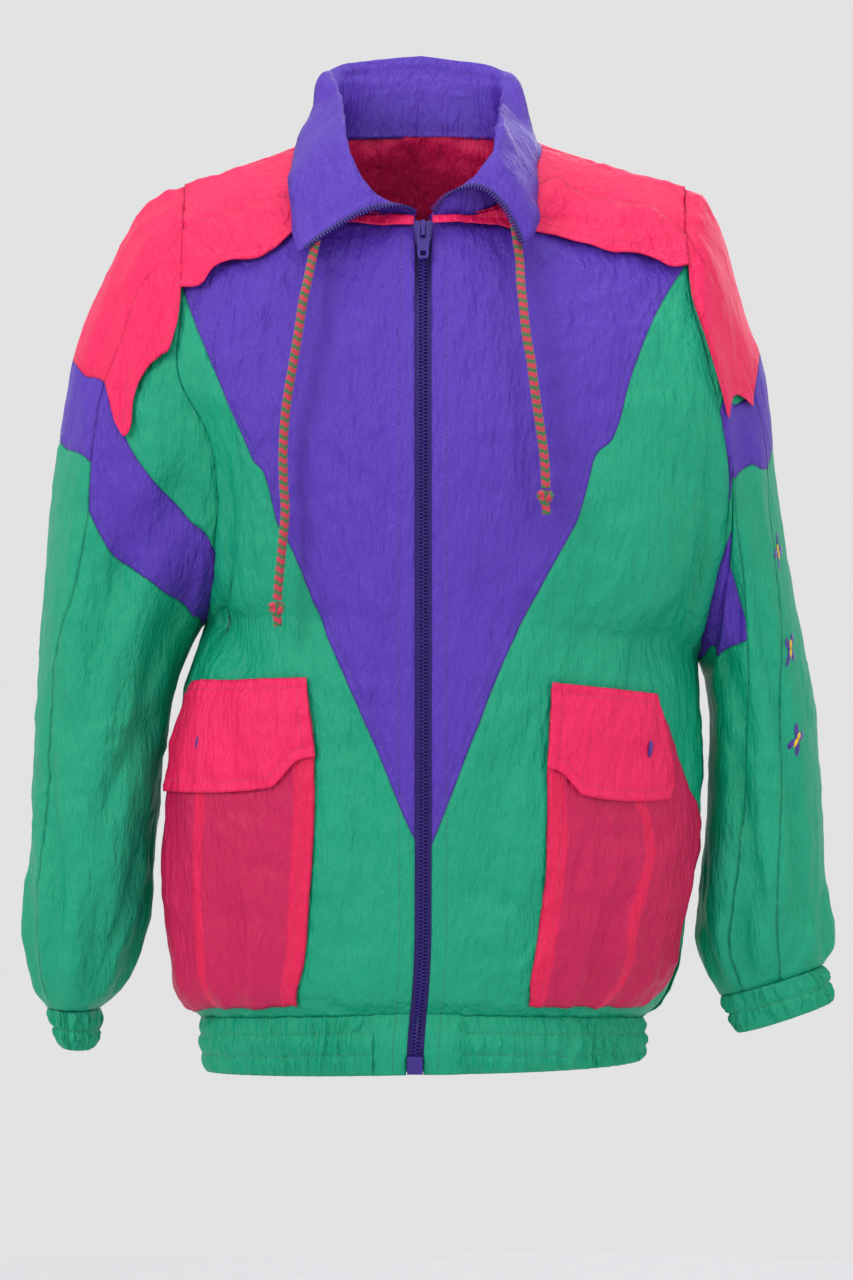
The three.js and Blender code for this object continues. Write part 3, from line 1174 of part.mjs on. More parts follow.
// Pockets lie on the front side panels. Rows give the two upright edges by height.
const POCKET = {
  '-1': {
    bag: table(['k', 'inner', 'outer'], [[0.014, 0.34, 0.93], [0.06, 0.3, 0.955], [0.2, 0.265, 0.965], [0.31, 0.268, 0.93], [0.392, 0.3, 0.8]]),
    flap: table(['s', 'inner', 'outer', 'low'], [[0, 0.262, 0.925, 0.305], [0.07, 0.262, 0.925, 0.3], [0.18, 0.262, 0.925, 0.27], [1, 0.262, 0.925, 0.268]]),
    top: 0.397,
    button: [0.615, 0.44],
  },
  1: {
    bag: table(['k', 'inner', 'outer'], [[0.016, 0.29, 0.75], [0.05, 0.272, 0.88], [0.12, 0.281, 0.83], [0.215, 0.285, 0.925], [0.3, 0.28, 0.76], [0.395, 0.292, 0.61]]),
    flap: table(['s', 'inner', 'outer', 'low'], [[0, 0.277, 0.68, 0.3], [0.1, 0.277, 0.68, 0.294], [0.24, 0.277, 0.68, 0.27], [0.9, 0.277, 0.68, 0.274], [1, 0.277, 0.68, 0.292]]),
    top: 0.402,
    button: [0.764, 0.477],
  },
};
const BUTTON_LENGTH = 12.6;
const BUTTON_WIDTH = 2.8;
const BUTTON_RISE = 3;
const BUTTON_GAP = 0.7;

function buildPocket(side) {
  const name = SIDE_NAME[side];
  const { bag, flap, top, button } = POCKET[side];
  const group = new THREE.Group();
  jacket.add(group);
  const lowK = bag[0].k;
  const bagAt = (u, w) => {
    const k = mix(lowK, top - 0.006, w);
    return bodyPlace(side, mix(read(bag, 'k', 'inner', k), read(bag, 'k', 'outer', k), u), k);
  };
  const puff = (u, w) => {
    const low = LAYER_GAP + 3.2 * Math.sin(Math.PI * clamp01(u)) * Math.sin(Math.PI * clamp01(w * 0.9 + 0.05));
    return [low, low + CLOTH];
  };
  add(group, `pocket_bag_${name}`, panel(bagAt, evenly(8), () => evenly(9), puff, NO_MARGIN), CRIMSON);
  const flapAt = (u, w) => {
    const k = mix(read(flap, 's', 'low', u), top, w);
    const topInner = read(bag, 'k', 'inner', top - 0.007);
    const topOuter = read(bag, 'k', 'outer', top - 0.007);
    const p = mix(mix(flap[0].inner, topInner, w), mix(flap[0].outer, topOuter, w), u);
    return bodyPlace(side, p, k);
  };
  const overBag = (u, w) => {
    const swell = 3.6 * Math.sin(Math.PI * clamp01(mix(0.03, 0.97, u))) * (1 - 0.75 * w);
    const low = LAYER_GAP + CLOTH + 0.9 + swell;
    return [low, low + CLOTH];
  };
  const [buttonU, buttonW] = button;
  const listWith = (count, at) => evenly(count).map((x) => (Math.abs(x - at) <= 0.5 / count ? at : x));
  const flapRows = listWith(4, buttonW);
  const flapPanel = panel(flapAt, listWith(8, buttonU), () => flapRows, overBag, NO_MARGIN);
  add(group, `pocket_flap_${name}`, flapPanel, PINK);
  const place = flapAt(buttonU, buttonW);
  const out = place.out();
  const centre = place.point.addScaledVector(out, overBag(buttonU, buttonW)[1] + BUTTON_GAP);
  const cap = closeLens();
  const up = vec(0.12, 0, 1).normalize();
  const turn = new THREE.Matrix4().makeBasis(up.clone().cross(out).normalize(), up, out);
  cap.applyMatrix4(turn);
  cap.translate(centre.x, centre.y, centre.z);
  add(group, `pocket_button_${name}`, cap, PURPLE, 0.3);
}

// Half of a round button as it stands out of its buttonhole: a lens with a flat back
function closeLens() {
  const around = 14;
  const rings = 4;
  const places = [vec(0, 0, BUTTON_RISE)];
  for (let j = 1; j <= rings; j += 1) {
    const fall = (j / rings) * (Math.PI / 2);
    for (let i = 0; i < around; i += 1) {
      const turn = (2 * Math.PI * i) / around;
      places.push(vec((BUTTON_WIDTH / 2) * Math.sin(fall) * Math.cos(turn),
        (BUTTON_LENGTH / 2) * Math.sin(fall) * Math.sin(turn), BUTTON_RISE * Math.cos(fall)));
    }
  }
  places.push(vec(0, 0, 0));
  const triangles = [];
  for (let i = 0; i < around; i += 1) {
    const next = (i + 1) % around;
    triangles.push(0, 1 + i, 1 + next);
    for (let j = 0; j < rings - 1; j += 1) {
      const a = 1 + j * around;
      const b = a + around;
      triangles.push(a + i, b + i, b + next, a + i, b + next, a + next);
    }
    const rim = 1 + (rings - 1) * around;
    triangles.push(places.length - 1, rim + next, rim + i);
  }
  return closedGeometry(places, triangles);
}

// Drawcord ends: each hangs out of the collar's edge and ends in a knot
const CORD_DIAMETER = 6.6;
const CORD_SIDES = 10;
const CORDS = {
  '-1': table(['x', 'y', 'z'], [
    [-77.5, -110, -93], [-79.5, -115, -104], [-83, -121, -121], [-86, -125, -142], [-89.5, -128, -164],
    [-93, -130, -185], [-95.5, -131, -206], [-96.5, -132, -228], [-96, -132, -250], [-95, -133, -268],
    [-97, -133, -292], [-99, -133, -312], [-100.5, -133, -330],
  ]),
  1: table(['x', 'y', 'z'], [
    [69.5, -102, -87], [70, -107, -97], [70.5, -115, -109], [72, -122, -125], [74, -128, -145], [77, -131, -162],
    [79, -134, -178], [81.5, -136, -197], [84.5, -137, -217], [86.5, -138, -234], [87.2, -138, -252],
  ]),
};
const KNOT_RADIUS = 6;
// Where on the collar each cord comes out, by angle round the neck and share across
const CORD_AROUND = { '-1': 5, 1: 11 };
const CORD_V = { '-1': 0.9, 1: 0.84 };

function buildCord(side) {
  const name = SIDE_NAME[side];
  const casing = collarPlace(side, CORD_AROUND[side], CORD_V[side]);
  const reach = CORD_DIAMETER / 2 + 0.5;
  const points = [casing.point.addScaledVector(casing.out(), reach), ...CORDS[side].map(({ x, y, z }) => vec(x, y, z))];
  const path = new THREE.CatmullRomCurve3(points);
  const section = new THREE.Shape([...Array(CORD_SIDES)].map((_, i) => {
    const turn = (2 * Math.PI * i) / CORD_SIDES;
    return new THREE.Vector2((CORD_DIAMETER / 2) * Math.cos(turn), (CORD_DIAMETER / 2) * Math.sin(turn));
  }));
  const steps = Math.ceil(path.getLength() / (CORD_DIAMETER * 1.7));
  add(jacket, `drawcord_${name}`, new THREE.ExtrudeGeometry(section, { steps, extrudePath: path }), CORD_PINK, 0.8);
  const last = points.at(-1);
  const knot = new THREE.IcosahedronGeometry(KNOT_RADIUS, 1);
  knot.deleteAttribute('normal');
  knot.deleteAttribute('uv');
  const round = mergeVertices(knot, 1e-3);
  round.translate(last.x - 0.5, last.y, last.z - KNOT_RADIUS - 0.3);
  add(jacket, `drawcord_knot_${name}`, round, CORD_PINK, 0.8);
}

await loadManifold();
SIDES.forEach(buildFront);
buildBack();
buildCollar();
SIDES.forEach(buildSleeve);
buildWaistband();
SIDES.forEach(buildPocket);
buildZip();
SIDES.forEach(buildCord);

export default jacket;
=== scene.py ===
# %% [markdown]
# # A thin nylon track jacket
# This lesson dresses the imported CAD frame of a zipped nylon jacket. The real one is cut from crinkled
# nylon in pink, purple, green and crimson, with a stand collar, two patch pockets, a gathered waistband
# and two braided drawcords. Every cloth panel is a thin shell that follows the same form as its rigid
# CAD panel, with the folds, seams and sewing that a solid leaves out.

import math

import bmesh
import bpy
import numpy as np
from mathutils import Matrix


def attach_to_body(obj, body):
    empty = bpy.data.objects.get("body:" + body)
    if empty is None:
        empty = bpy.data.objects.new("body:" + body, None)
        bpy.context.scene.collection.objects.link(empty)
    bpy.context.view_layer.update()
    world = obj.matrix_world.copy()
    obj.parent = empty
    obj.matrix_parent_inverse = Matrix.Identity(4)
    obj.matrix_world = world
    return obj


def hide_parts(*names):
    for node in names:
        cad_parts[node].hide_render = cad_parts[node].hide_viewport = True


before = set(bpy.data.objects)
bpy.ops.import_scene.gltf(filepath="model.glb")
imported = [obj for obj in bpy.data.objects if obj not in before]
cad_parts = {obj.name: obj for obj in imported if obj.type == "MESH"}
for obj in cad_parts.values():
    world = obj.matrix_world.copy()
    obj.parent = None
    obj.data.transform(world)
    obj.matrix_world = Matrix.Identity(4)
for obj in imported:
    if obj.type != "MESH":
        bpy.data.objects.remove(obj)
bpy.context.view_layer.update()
MM = 0.001

# %% [markdown]
# ## The camera
# The photograph is taken level and from a few metres away, so the lens is long and the sides of the
# jacket hardly shrink. The camera comes first, because the loose cord ends are measured against it.

# %% Camera
CAMERA_DISTANCE = 3.2
CAMERA_X, CAMERA_Z = 0.0039, -0.358
FRAME_HEIGHT = 0.9344
SENSOR = 36

camera_data = bpy.data.cameras.new("photo_camera")
camera_data.sensor_fit = "AUTO"
camera_data.sensor_width = SENSOR
camera_data.lens = SENSOR * CAMERA_DISTANCE / FRAME_HEIGHT
camera = bpy.data.objects.new("photo_camera", camera_data)
camera.location = (CAMERA_X, -CAMERA_DISTANCE, CAMERA_Z)
camera.rotation_euler = (math.radians(90), 0, 0)
bpy.context.scene.collection.objects.link(camera)
bpy.context.scene.camera = camera
# The dyes are strong and pure, so the picture keeps its colours as they are
bpy.context.scene.view_settings.view_transform = "Standard"
print("lens:", round(camera_data.lens, 1), "mm")

# %% [markdown]
# ## Numbers into shapes
# A garment is easier to describe than to sculpt. Short tables say where a line runs, and a smooth
# curve through the rows gives every place between them. All helpers work on whole arrays, so a panel
# of ten thousand points is made in one go. Lengths are in millimetres until a mesh is made.

# %% Helpers for curves
SIDES = (-1, 1)
SIDE_NAME = {-1: "left", 1: "right"}


def table(columns, rows):
    return {name: np.array([row[i] for row in rows], float) for i, name in enumerate(columns.split())}


def mix(a, b, t):
    return a + (b - a) * t


def smooth(start, end, x):
    t = np.clip((x - start) / (end - start), 0, 1)
    return t * t * (3 - 2 * t)


def pack(x, y, z):
    return np.stack(np.broadcast_arrays(np.asarray(x, float), y, z), -1)


def unit(v):
    return v / np.maximum(np.linalg.norm(v, axis=-1, keepdims=True), 1e-9)


def together(*values):
    """The values as arrays of one shape."""
    return np.broadcast_arrays(*(np.asarray(value, float) for value in values))


def run_along(line):
    """Distance along a line of points, from 0 at its first one."""
    return np.concatenate([[0], np.cumsum(np.linalg.norm(np.diff(line, axis=0), axis=-1))])


def read(rows, key, column, at):
    """Value of a column where the key column has the value at, on a smooth curve through the rows."""
    xs, ys = rows[key], rows[column]
    at = np.clip(np.asarray(at, float), xs[0], xs[-1])
    slopes = np.empty_like(ys)
    slopes[1:-1] = (ys[2:] - ys[:-2]) / (xs[2:] - xs[:-2])
    slopes[0] = (ys[1] - ys[0]) / (xs[1] - xs[0])
    slopes[-1] = (ys[-1] - ys[-2]) / (xs[-1] - xs[-2])
    i = np.clip(np.searchsorted(xs, at, side="right") - 1, 0, len(xs) - 2)
    width = xs[i + 1] - xs[i]
    t = (at - xs[i]) / width
    return (
        (2 * t**3 - 3 * t**2 + 1) * ys[i]
        + (t**3 - 2 * t**2 + t) * width * slopes[i]
        + (-2 * t**3 + 3 * t**2) * ys[i + 1]
        + (t**3 - t**2) * width * slopes[i + 1]
    )


def read_place(rows, key, columns, at, side=1):
    """A point from three columns of a table, its x turned to the given side."""
    x, y, z = (read(rows, key, column, at) for column in columns)
    return pack(side * x, y, z)


def hermite(start, end, start_way, end_way, t):
    t = t[..., None]
    return (
        (2 * t**3 - 3 * t**2 + 1) * start
        + (t**3 - 2 * t**2 + t) * start_way
        + (-2 * t**3 + 3 * t**2) * end
        + (t**3 - t**2) * end_way
    )


HALVINGS = 24


def bisect(under, low, high):
    """Where the test turns from true to false between low and high, for whole arrays."""
    a, b = (limit.copy() for limit in together(low, high))
    for _ in range(HALVINGS):
        middle = (a + b) / 2
        is_under = under(middle)
        a = np.where(is_under, middle, a)
        b = np.where(is_under, b, middle)
    return (a + b) / 2


# %% [markdown]
# ## The crinkle of nylon
# Light nylon never lies flat. It holds soft hollows a few centimetres wide and a fine upright crinkle
# from being gathered at the waist. Both are sums of waves that depend on the place in space alone, so
# the crinkle runs over a seam from one panel into the next, and every run gives the same cloth.

# %% Crinkle
DRIFT, DRIFT_SIZE = 9, (60, 60, 60)
# Height in mm, size of the waves in x, y and z, and seed
BROAD = (1.25, (19, 19, 52), 4)
RIDGES = ((1.05, (11, 11, 34), 5), (0.55, (4.4, 4.4, 17), 6), (0.6, (26, 26, 9), 7))
RIDGE_TOP = 0.8


def wave_field(points, scale, seed, count=26):
    rng = np.random.default_rng(seed)
    waves = rng.normal(size=(count, 3)) / np.asarray(scale, float)
    phases = rng.uniform(0, 2 * np.pi, count)
    flat = np.asarray(points, float).reshape(-1, 3)
    total = np.cos(flat @ waves.T + phases).sum(1) * math.sqrt(2 / count)
    return total.reshape(np.shape(points)[:-1])


def crinkle(points):
    """Distance in mm by which the cloth stands out at each place."""
    bent = points + DRIFT * pack(*(wave_field(points, DRIFT_SIZE, seed) for seed in (1, 2, 3)))
    height, size, seed = BROAD
    total = height * wave_field(bent, size, seed)
    for height, size, seed in RIDGES:
        total = total + height * (RIDGE_TOP - np.abs(wave_field(bent, size, seed)))
    return total


# %% [markdown]
# ## The body of the jacket
# The body is four quarters between the centre lines and the side lines. In a quarter, p runs from the
# centre to the side, and k runs up the front and over the shoulder down the back, from 0 to 2. The
# tables are the ones the CAD part was made from, so the cloth lies on its solid.

# %% Body tables
CLOTH = 1.5
QUARTER_ROUND = 1.65
FRONT_WAIST_Z, SIDE_WAIST_Z, NECK_PIT_Z, NAPE_Z = -621, -633, -56, 17
ARMHOLE_H, PIT_H, NAPE_H = 0.47, 0.94, 0.93
UNDERARM_Z = {-1: -345, 1: -370}

FRONT_LINE = table("z y", [
    [-664, -112], [-643, -116], [-621, -114], [-610, -121], [-590, -127], [-550, -131], [-480, -135],
    [-400, -136], [-300, -133], [-220, -127], [-150, -113], [-100, -98], [-56, -80],
])

BACK_LINE = table("z y", [
    [-621, 113], [-611, 122], [-595, 128], [-565, 130], [-500, 122], [-400, 113], [-300, 110],
    [-200, 112], [-120, 107], [-60, 93], [-20, 79], [17, 66],
])

NECKLINE = table("around x y z", [
    [0, 0, -80, -56], [30, 46, -74, -49], [60, 77, -43, -23], [90, 87, 0, 2], [120, 73, 38, 12],
    [150, 41, 60, 16], [180, 0, 66, 17],
])

SIDE_LINE = {
    -1: table("z x y", [
      [-633, 161, 2], [-624, 170, 0], [-611, 179, -3], [-584, 182, -5], [-548, 186, -5], [-511, 186, -5],
      [-475, 183, -5], [-438, 180, -4], [-395, 174, -2], [-369, 166, 2], [-345, 158.5, 5],
    ]),
    1: table("z x y", [
      [-633, 162, 2], [-624, 171, 0], [-608, 180, -3], [-584, 189, -5], [-548, 195, -5], [-511, 199, -5],
      [-475, 203, -5], [-438, 204, -4], [-402, 202, -2], [-385, 201.5, 2], [-370, 201.5, 5],
    ]),
}

ARMHOLE = {
    -1: table("around x y z", [
      [0, 173, 5, -24], [30, 171, -48, -66], [60, 170, -74, -118], [85, 172, -86, -168],
      [110, 152, -82, -212], [130, 144, -74, -250], [150, 148, -60, -296], [165, 154, -36, -330],
      [180, 158.5, 5, -345], [195, 157, 34, -335], [215, 153, 60, -300], [240, 150, 80, -245],
      [270, 153, 88, -180], [300, 161, 80, -115], [330, 169, 52, -62], [360, 173, 5, -24],
    ]),
    1: table("around x y z", [
      [0, 193, 5, -26], [30, 190.5, -48, -67], [60, 193, -74, -116], [85, 205, -86, -163],
      [110, 214, -84, -205], [130, 219, -74, -251], [150, 216, -60, -301], [165, 207, -36, -344],
      [180, 201.5, 5, -370], [195, 202, 34, -358], [215, 205, 60, -320], [240, 208, 80, -262],
      [270, 207, 88, -190], [300, 202, 80, -120], [330, 195, 52, -64], [360, 193, 5, -26],
    ]),
}

ARMHOLE_TURN = table("h around", [
    [0.47, 180], [0.52, 160], [0.58, 142], [0.65, 124], [0.72, 108], [0.79, 90], [0.86, 66],
    [0.92, 40], [0.96, 20], [1, 0],
])

SIDE_ROLL = table("h roll", [
    [0, 1], [0.47, 1], [0.55, 0.85], [0.65, 0.75], [0.75, 0.7], [0.85, 0.55], [0.93, 0.25], [1, 0],
])

ZIP_DRIFT = table("z x", [[-664, -4.5], [-640, -3.5], [-600, 0], [-560, 1.5], [-56, 1.5]])

BODY_FOLDS = {
    -1: table("u0 v0 u1 v1 width depth", [
      [0.95, 0.52, 0.45, 0.40, 16, -4], [0.9, 0.66, 0.74, 0.46, 14, -3.5], [0.16, 0.36, 0.11, 0.1, 12, -3],
      [0.5, 1.75, 0.2, 1.45, 18, -4], [0.9, 1.55, 0.5, 1.62, 16, -3.5],
    ]),
    1: table("u0 v0 u1 v1 width depth", [
      [0.92, 0.56, 0.5, 0.42, 16, -4], [0.85, 0.68, 0.8, 0.46, 13, -4], [0.18, 0.34, 0.12, 0.1, 12, -3],
      [0.45, 1.72, 0.15, 1.5, 18, -4], [0.9, 1.52, 0.55, 1.66, 16, -4],
    ]),
}

# %% Body surface
WAIST_PUCKERS = 6
WAIST_PUCKER_DEPTH = 2.6
# Rough size in mm of a quarter of the body: from centre to side, and from waist to shoulder
QUARTER_WIDE, QUARTER_TALL = 230, 620


def fold_sum(folds, u, v, scale_u, scale_v):
    """Soft troughs along short lines on a surface, which are the main creases of the cloth."""
    total = 0.0
    for u0, v0, u1, v1, width, depth in zip(*folds.values()):
        ax, ay = (u1 - u0) * scale_u, (v1 - v0) * scale_v
        bx, by = (u - u0) * scale_u, (v - v0) * scale_v
        length = math.hypot(ax, ay)
        along = (ax * bx + ay * by) / length**2
        beside = np.abs(ax * by - ay * bx) / length
        ends = smooth(-0.1, 0.25, along) * (1 - smooth(0.75, 1.1, along))
        total = total + depth * ends * np.exp(-((beside / width) ** 2))
    return total


def neckline(side, around):
    return read_place(NECKLINE, "around", "xyz", around, side)


def centre_line(side, k):
    front = k <= 1
    h = np.where(front, k, 2 - k)
    top_h = np.where(front, PIT_H, NAPE_H)
    z = mix(FRONT_WAIST_Z, np.where(front, NECK_PIT_Z, NAPE_Z), np.clip(h / top_h, 0, 1))
    y = np.where(front, read(FRONT_LINE, "z", "y", z), read(BACK_LINE, "z", "y", z))
    share = np.clip((h - top_h) / (1 - top_h), 0, 1)
    high = neckline(side, np.where(front, 90 * share, 180 - 90 * share))
    return np.where((h > top_h)[..., None], high, pack(0, y, z))


def armhole_point(side, around):
    return read_place(ARMHOLE[side], "around", "xyz", np.mod(around, 360), side)


def armhole_angle(k):
    around = read(ARMHOLE_TURN, "h", "around", np.where(k <= 1, k, 2 - k))
    return np.where(k <= 1, around, 360 - around)


def side_line(side, k):
    h = np.where(k <= 1, k, 2 - k)
    z = mix(SIDE_WAIST_Z, UNDERARM_Z[side], np.clip(h / ARMHOLE_H, 0, 1))
    rows = SIDE_LINE[side]
    low = pack(side * read(rows, "z", "x", z), read(rows, "z", "y", z), z)
    return np.where((h < ARMHOLE_H)[..., None], low, armhole_point(side, armhole_angle(k)))


def plain_body(side, p, k):
    p, k = together(p, k)
    h = np.where(k <= 1, k, 2 - k)
    start, end = centre_line(side, k), side_line(side, k)
    d = end - start
    flat = (1 - smooth(0.86, 0.97, h))[..., None]
    roll = read(SIDE_ROLL, "h", "roll", h)[..., None]
    start_way = d * (1 - flat) + flat * pack(QUARTER_ROUND * d[..., 0], 0, d[..., 2])
    end_way = d * (1 - roll) + roll * pack(0, QUARTER_ROUND * d[..., 1], d[..., 2])
    points = hermite(start, end, start_way, end_way, p)
    fade = (1 - smooth(0, 0.5, p)) * (1 - smooth(PIT_H, 1, h)) * (k <= 1)
    points[..., 0] += read(ZIP_DRIFT, "z", "x", points[..., 2]) * fade
    return points


SLOPE_STEP = 0.004


def slope_across(surface, u, v, u_limits, v_limits):
    u, v = together(u, v)
    u0, u1 = np.maximum(u_limits[0], u - SLOPE_STEP), np.minimum(u_limits[1], u + SLOPE_STEP)
    v0, v1 = np.maximum(v_limits[0], v - SLOPE_STEP), np.minimum(v_limits[1], v + SLOPE_STEP)
    du = (surface(u1, v) - surface(u0, v)) / (u1 - u0)[..., None]
    dv = (surface(u, v1) - surface(u, v0)) / (v1 - v0)[..., None]
    return unit(np.cross(du, dv))


def plain_body_out(side, p, k):
    return side * slope_across(lambda a, b: plain_body(side, a, b), p, k, (0, 1), (0, 2))


# %% [markdown]
# ## The sleeves
# A sleeve is a row of rings from the armhole to the cuff. Each ring has an outer and an inner point,
# measured against the photograph, and a depth in front and behind. The first rings ease from the
# armhole's own curve into plain ovals. The big raglan folds under the arm are again short troughs.

# %% Sleeve tables
SLEEVE = {
    -1: table("t ox oz ix iz front back mid", [
      [0, 173, -24, 158.5, -345, 86, 88, 0], [0.05, 190.6, -31.7, 161, -351, 86, 86, 0],
      [0.1, 207, -47, 164, -357, 85, 84, 0], [0.16, 221.5, -73, 167, -364, 84, 82, 0],
      [0.22, 234.5, -102, 170, -371, 82, 80, 0], [0.28, 245.4, -128, 173, -378, 80, 77, 0],
      [0.33, 253.4, -153.6, 176, -386, 78, 74, 0], [0.39, 259.3, -186.5, 178, -394, 75, 71, 0],
      [0.45, 263.6, -219.3, 180, -403, 72, 69, 0], [0.51, 268, -256, 182, -414, 69, 66, 0],
      [0.57, 272.4, -300, 184, -428, 67, 64, 0], [0.64, 277, -351, 187, -446, 65, 62, 0],
      [0.71, 280, -402, 190, -470, 63, 60, 0], [0.78, 283, -453, 193, -500, 61, 58, 0],
      [0.85, 286, -504, 194, -532, 58, 56, 0], [0.91, 289, -551, 196, -560, 54, 52, 0],
      [0.95, 288, -581, 205, -587, 49, 47, 0], [0.98, 281, -612, 219, -613, 42, 40, 0],
      [1, 273, -625, 234, -626, 37, 35, 0],
    ]),
    1: table("t ox oz ix iz front back mid", [
      [0, 193, -26, 201.5, -370, 86, 88, 0], [0.05, 206.5, -34, 204, -375, 85, 86, 0],
      [0.1, 219.6, -60, 206, -380, 84, 84, 4], [0.16, 231.3, -99, 208, -386, 82, 82, 8],
      [0.22, 240, -128, 209, -392, 80, 80, 10], [0.28, 248.8, -155, 210, -398, 78, 78, 12],
      [0.33, 254.6, -190, 211, -405, 75, 75, 12], [0.39, 257.6, -226.6, 212, -413, 72, 72, 12],
      [0.45, 264, -270, 212, -423, 69, 69, 11], [0.51, 271.4, -314, 212, -436, 66, 66, 10],
      [0.57, 278, -358, 211, -452, 64, 64, 9], [0.64, 284.6, -402, 210, -474, 62, 62, 8],
      [0.71, 289.7, -446, 207, -500, 60, 60, 7], [0.78, 292.6, -486, 204, -527, 57, 57, 6],
      [0.85, 294.5, -524, 202, -553, 53, 53, 5], [0.91, 298, -556, 201, -574, 46, 46, 4],
      [0.95, 299, -574, 204, -589, 40, 40, 3], [0.98, 298, -586, 210, -602, 34, 34, 2],
      [1, 294, -594, 218, -617, 29, 29, 2],
    ]),
}

SLEEVE_FOLDS = {
    -1: table("u0 v0 u1 v1 width depth", [
      [0.05, 120, 0.5, 95, 13, -5], [0.12, 150, 0.62, 130, 12, -4.5], [0.3, 100, 0.72, 80, 13, -4],
      [0.55, 150, 0.8, 100, 12, -4], [0.72, 40, 0.96, 75, 12, -3.5], [0.8, 150, 0.97, 120, 11, -4],
      [0.1, 240, 0.5, 265, 14, -4.5], [0.4, 220, 0.75, 260, 13, -4], [0.7, 300, 0.95, 260, 12, -4],
    ]),
    1: table("u0 v0 u1 v1 width depth", [
      [0.04, 128, 0.45, 100, 13, -5], [0.3, 140, 0.62, 105, 13, -5], [0.4, 85, 0.75, 60, 12, -4],
      [0.55, 130, 0.9, 95, 12, -4.5], [0.7, 60, 0.95, 50, 12, -3.5], [0.76, 120, 0.97, 110, 10, -4],
      [0.1, 235, 0.5, 260, 14, -4.5], [0.42, 225, 0.78, 265, 13, -4], [0.72, 300, 0.95, 265, 12, -4],
    ]),
}

# %% Sleeve surface
FOLD_STRENGTH = 1.5
CUFF_PUCKERS = 9
CUFF_PUCKER_DEPTH = 2.2
# Rough size in mm of the sleeve: from armhole to cuff, and of one degree round it
FOLD_LONG, FOLD_DEGREE = 480, 1.3


def sleeve_ring(side, t, around):
    rows = SLEEVE[side]
    middle = read(rows, "t", "mid", t)
    outer = pack(side * read(rows, "t", "ox", t), middle, read(rows, "t", "oz", t))
    inner = pack(side * read(rows, "t", "ix", t), middle, read(rows, "t", "iz", t))
    depth = np.where(np.sin(np.radians(around)) > 0, read(rows, "t", "front", t), read(rows, "t", "back", t))
    return (outer + inner) / 2, (outer - inner) / 2, depth


def ring_point(side, t, around):
    middle, half, depth = sleeve_ring(side, t, around)
    points = middle + half * np.cos(np.radians(around))[..., None]
    points[..., 1] -= depth * np.sin(np.radians(around))
    return points


def plain_sleeve(side, t, around):
    t, around = together(t, around)
    fall = (1 - smooth(0, 0.3, t))[..., None]
    to_armhole = armhole_point(side, around) - ring_point(side, np.zeros_like(t), around)
    return ring_point(side, t, around) + fall * to_armhole


def sleeve_out(side, t, around):
    t, around = together(t, around)
    _, half, depth = sleeve_ring(side, t, around)
    out = half * (np.cos(np.radians(around)) / (half**2).sum(-1))[..., None]
    out[..., 1] -= np.sin(np.radians(around)) / depth
    return unit(out)


# %% Places on the cloth, each a point and the direction out of it
def armhole_k(around):
    folded = np.where(around > 180, 360 - around, around)
    h = bisect(lambda x: read(ARMHOLE_TURN, "h", "around", x) > folded, ARMHOLE_H + 0 * folded, 1)
    return np.where(around > 180, 2 - h, h)


def armhole_out(side, around):
    turned = np.mod(around, 360)
    body_out = plain_body_out(side, np.ones_like(turned), armhole_k(turned))
    return unit(body_out + sleeve_out(side, 0 * turned, turned))


def body(side, p, k, lift=0.0):
    p, k = together(p, k)
    h = np.where(k <= 1, k, 2 - k)
    points, out = plain_body(side, p, k), plain_body_out(side, p, k)
    near = (smooth(0.9, 1, p) * smooth(ARMHOLE_H - 0.03, ARMHOLE_H + 0.03, h))[..., None]
    out = unit(mix(out, armhole_out(side, armhole_angle(k)), near))
    wave = np.sin(2 * np.pi * (WAIST_PUCKERS * p + 0.3 * np.sin(5 * p + side + k)))
    pucker = WAIST_PUCKER_DEPTH * wave * smooth(0, 0.02, h) * (1 - smooth(0.03, 0.15, h)) * (k > 1)
    fold = fold_sum(BODY_FOLDS[side], p, k, QUARTER_WIDE, QUARTER_TALL)
    # The cloth is calm beside the zip, along the waist seam and at the neckline
    calm = np.where(k <= 1, smooth(0.03, 0.14, p), 1) * smooth(0, 0.02, h) * (1 - smooth(0.955, 0.985, h))
    return points + out * (pucker + FOLD_STRENGTH * fold + crinkle(points) * calm + lift)[..., None], out


def sleeve(side, t, around, lift=0.0):
    t, around = together(t, around)
    points = plain_sleeve(side, t, around)
    near = (1 - smooth(0, 0.06, t))[..., None]
    out = unit(mix(sleeve_out(side, t, around), armhole_out(side, around), near))
    turned = np.mod(around, 360)
    wave = np.sin(np.radians(CUFF_PUCKERS * around) + 1.2 * np.sin(np.radians(2 * around) + side))
    pucker = CUFF_PUCKER_DEPTH * wave * smooth(0.84, 0.93, t) * (1 - smooth(0.97, 1, t))
    calm = 1 - smooth(0.97, 1, t)
    fold = fold_sum(SLEEVE_FOLDS[side], t, turned, FOLD_LONG, FOLD_DEGREE) * smooth(0, 0.03, t) * calm
    return points + out * (pucker + FOLD_STRENGTH * fold + crinkle(points) * calm + lift)[..., None], out


print("shoulder:", plain_body(-1, 1.0, 1.0).round(1), "cuff:", plain_sleeve(-1, 1.0, 0.0).round(1))

# %% [markdown]
# ## From a surface to a piece of cloth
# A panel is a grid of places about four millimetres apart, doubled into a closed thin shell so that it
# has a real edge. Sewing shows in the form before it shows in the colour: the cloth dips along a seam,
# puckers a little beside it and is pinched under a row of stitches. The grid of each piece is kept, so
# that rows of stitches can follow its edges.

# %% Cloth helpers
GRID_STEP, FINE_STEP = 4.0, 2.5
SHELL = 0.9
EDGES = ("u0", "u1", "w0", "w1")
SHEETS = {}
SEWN = {}


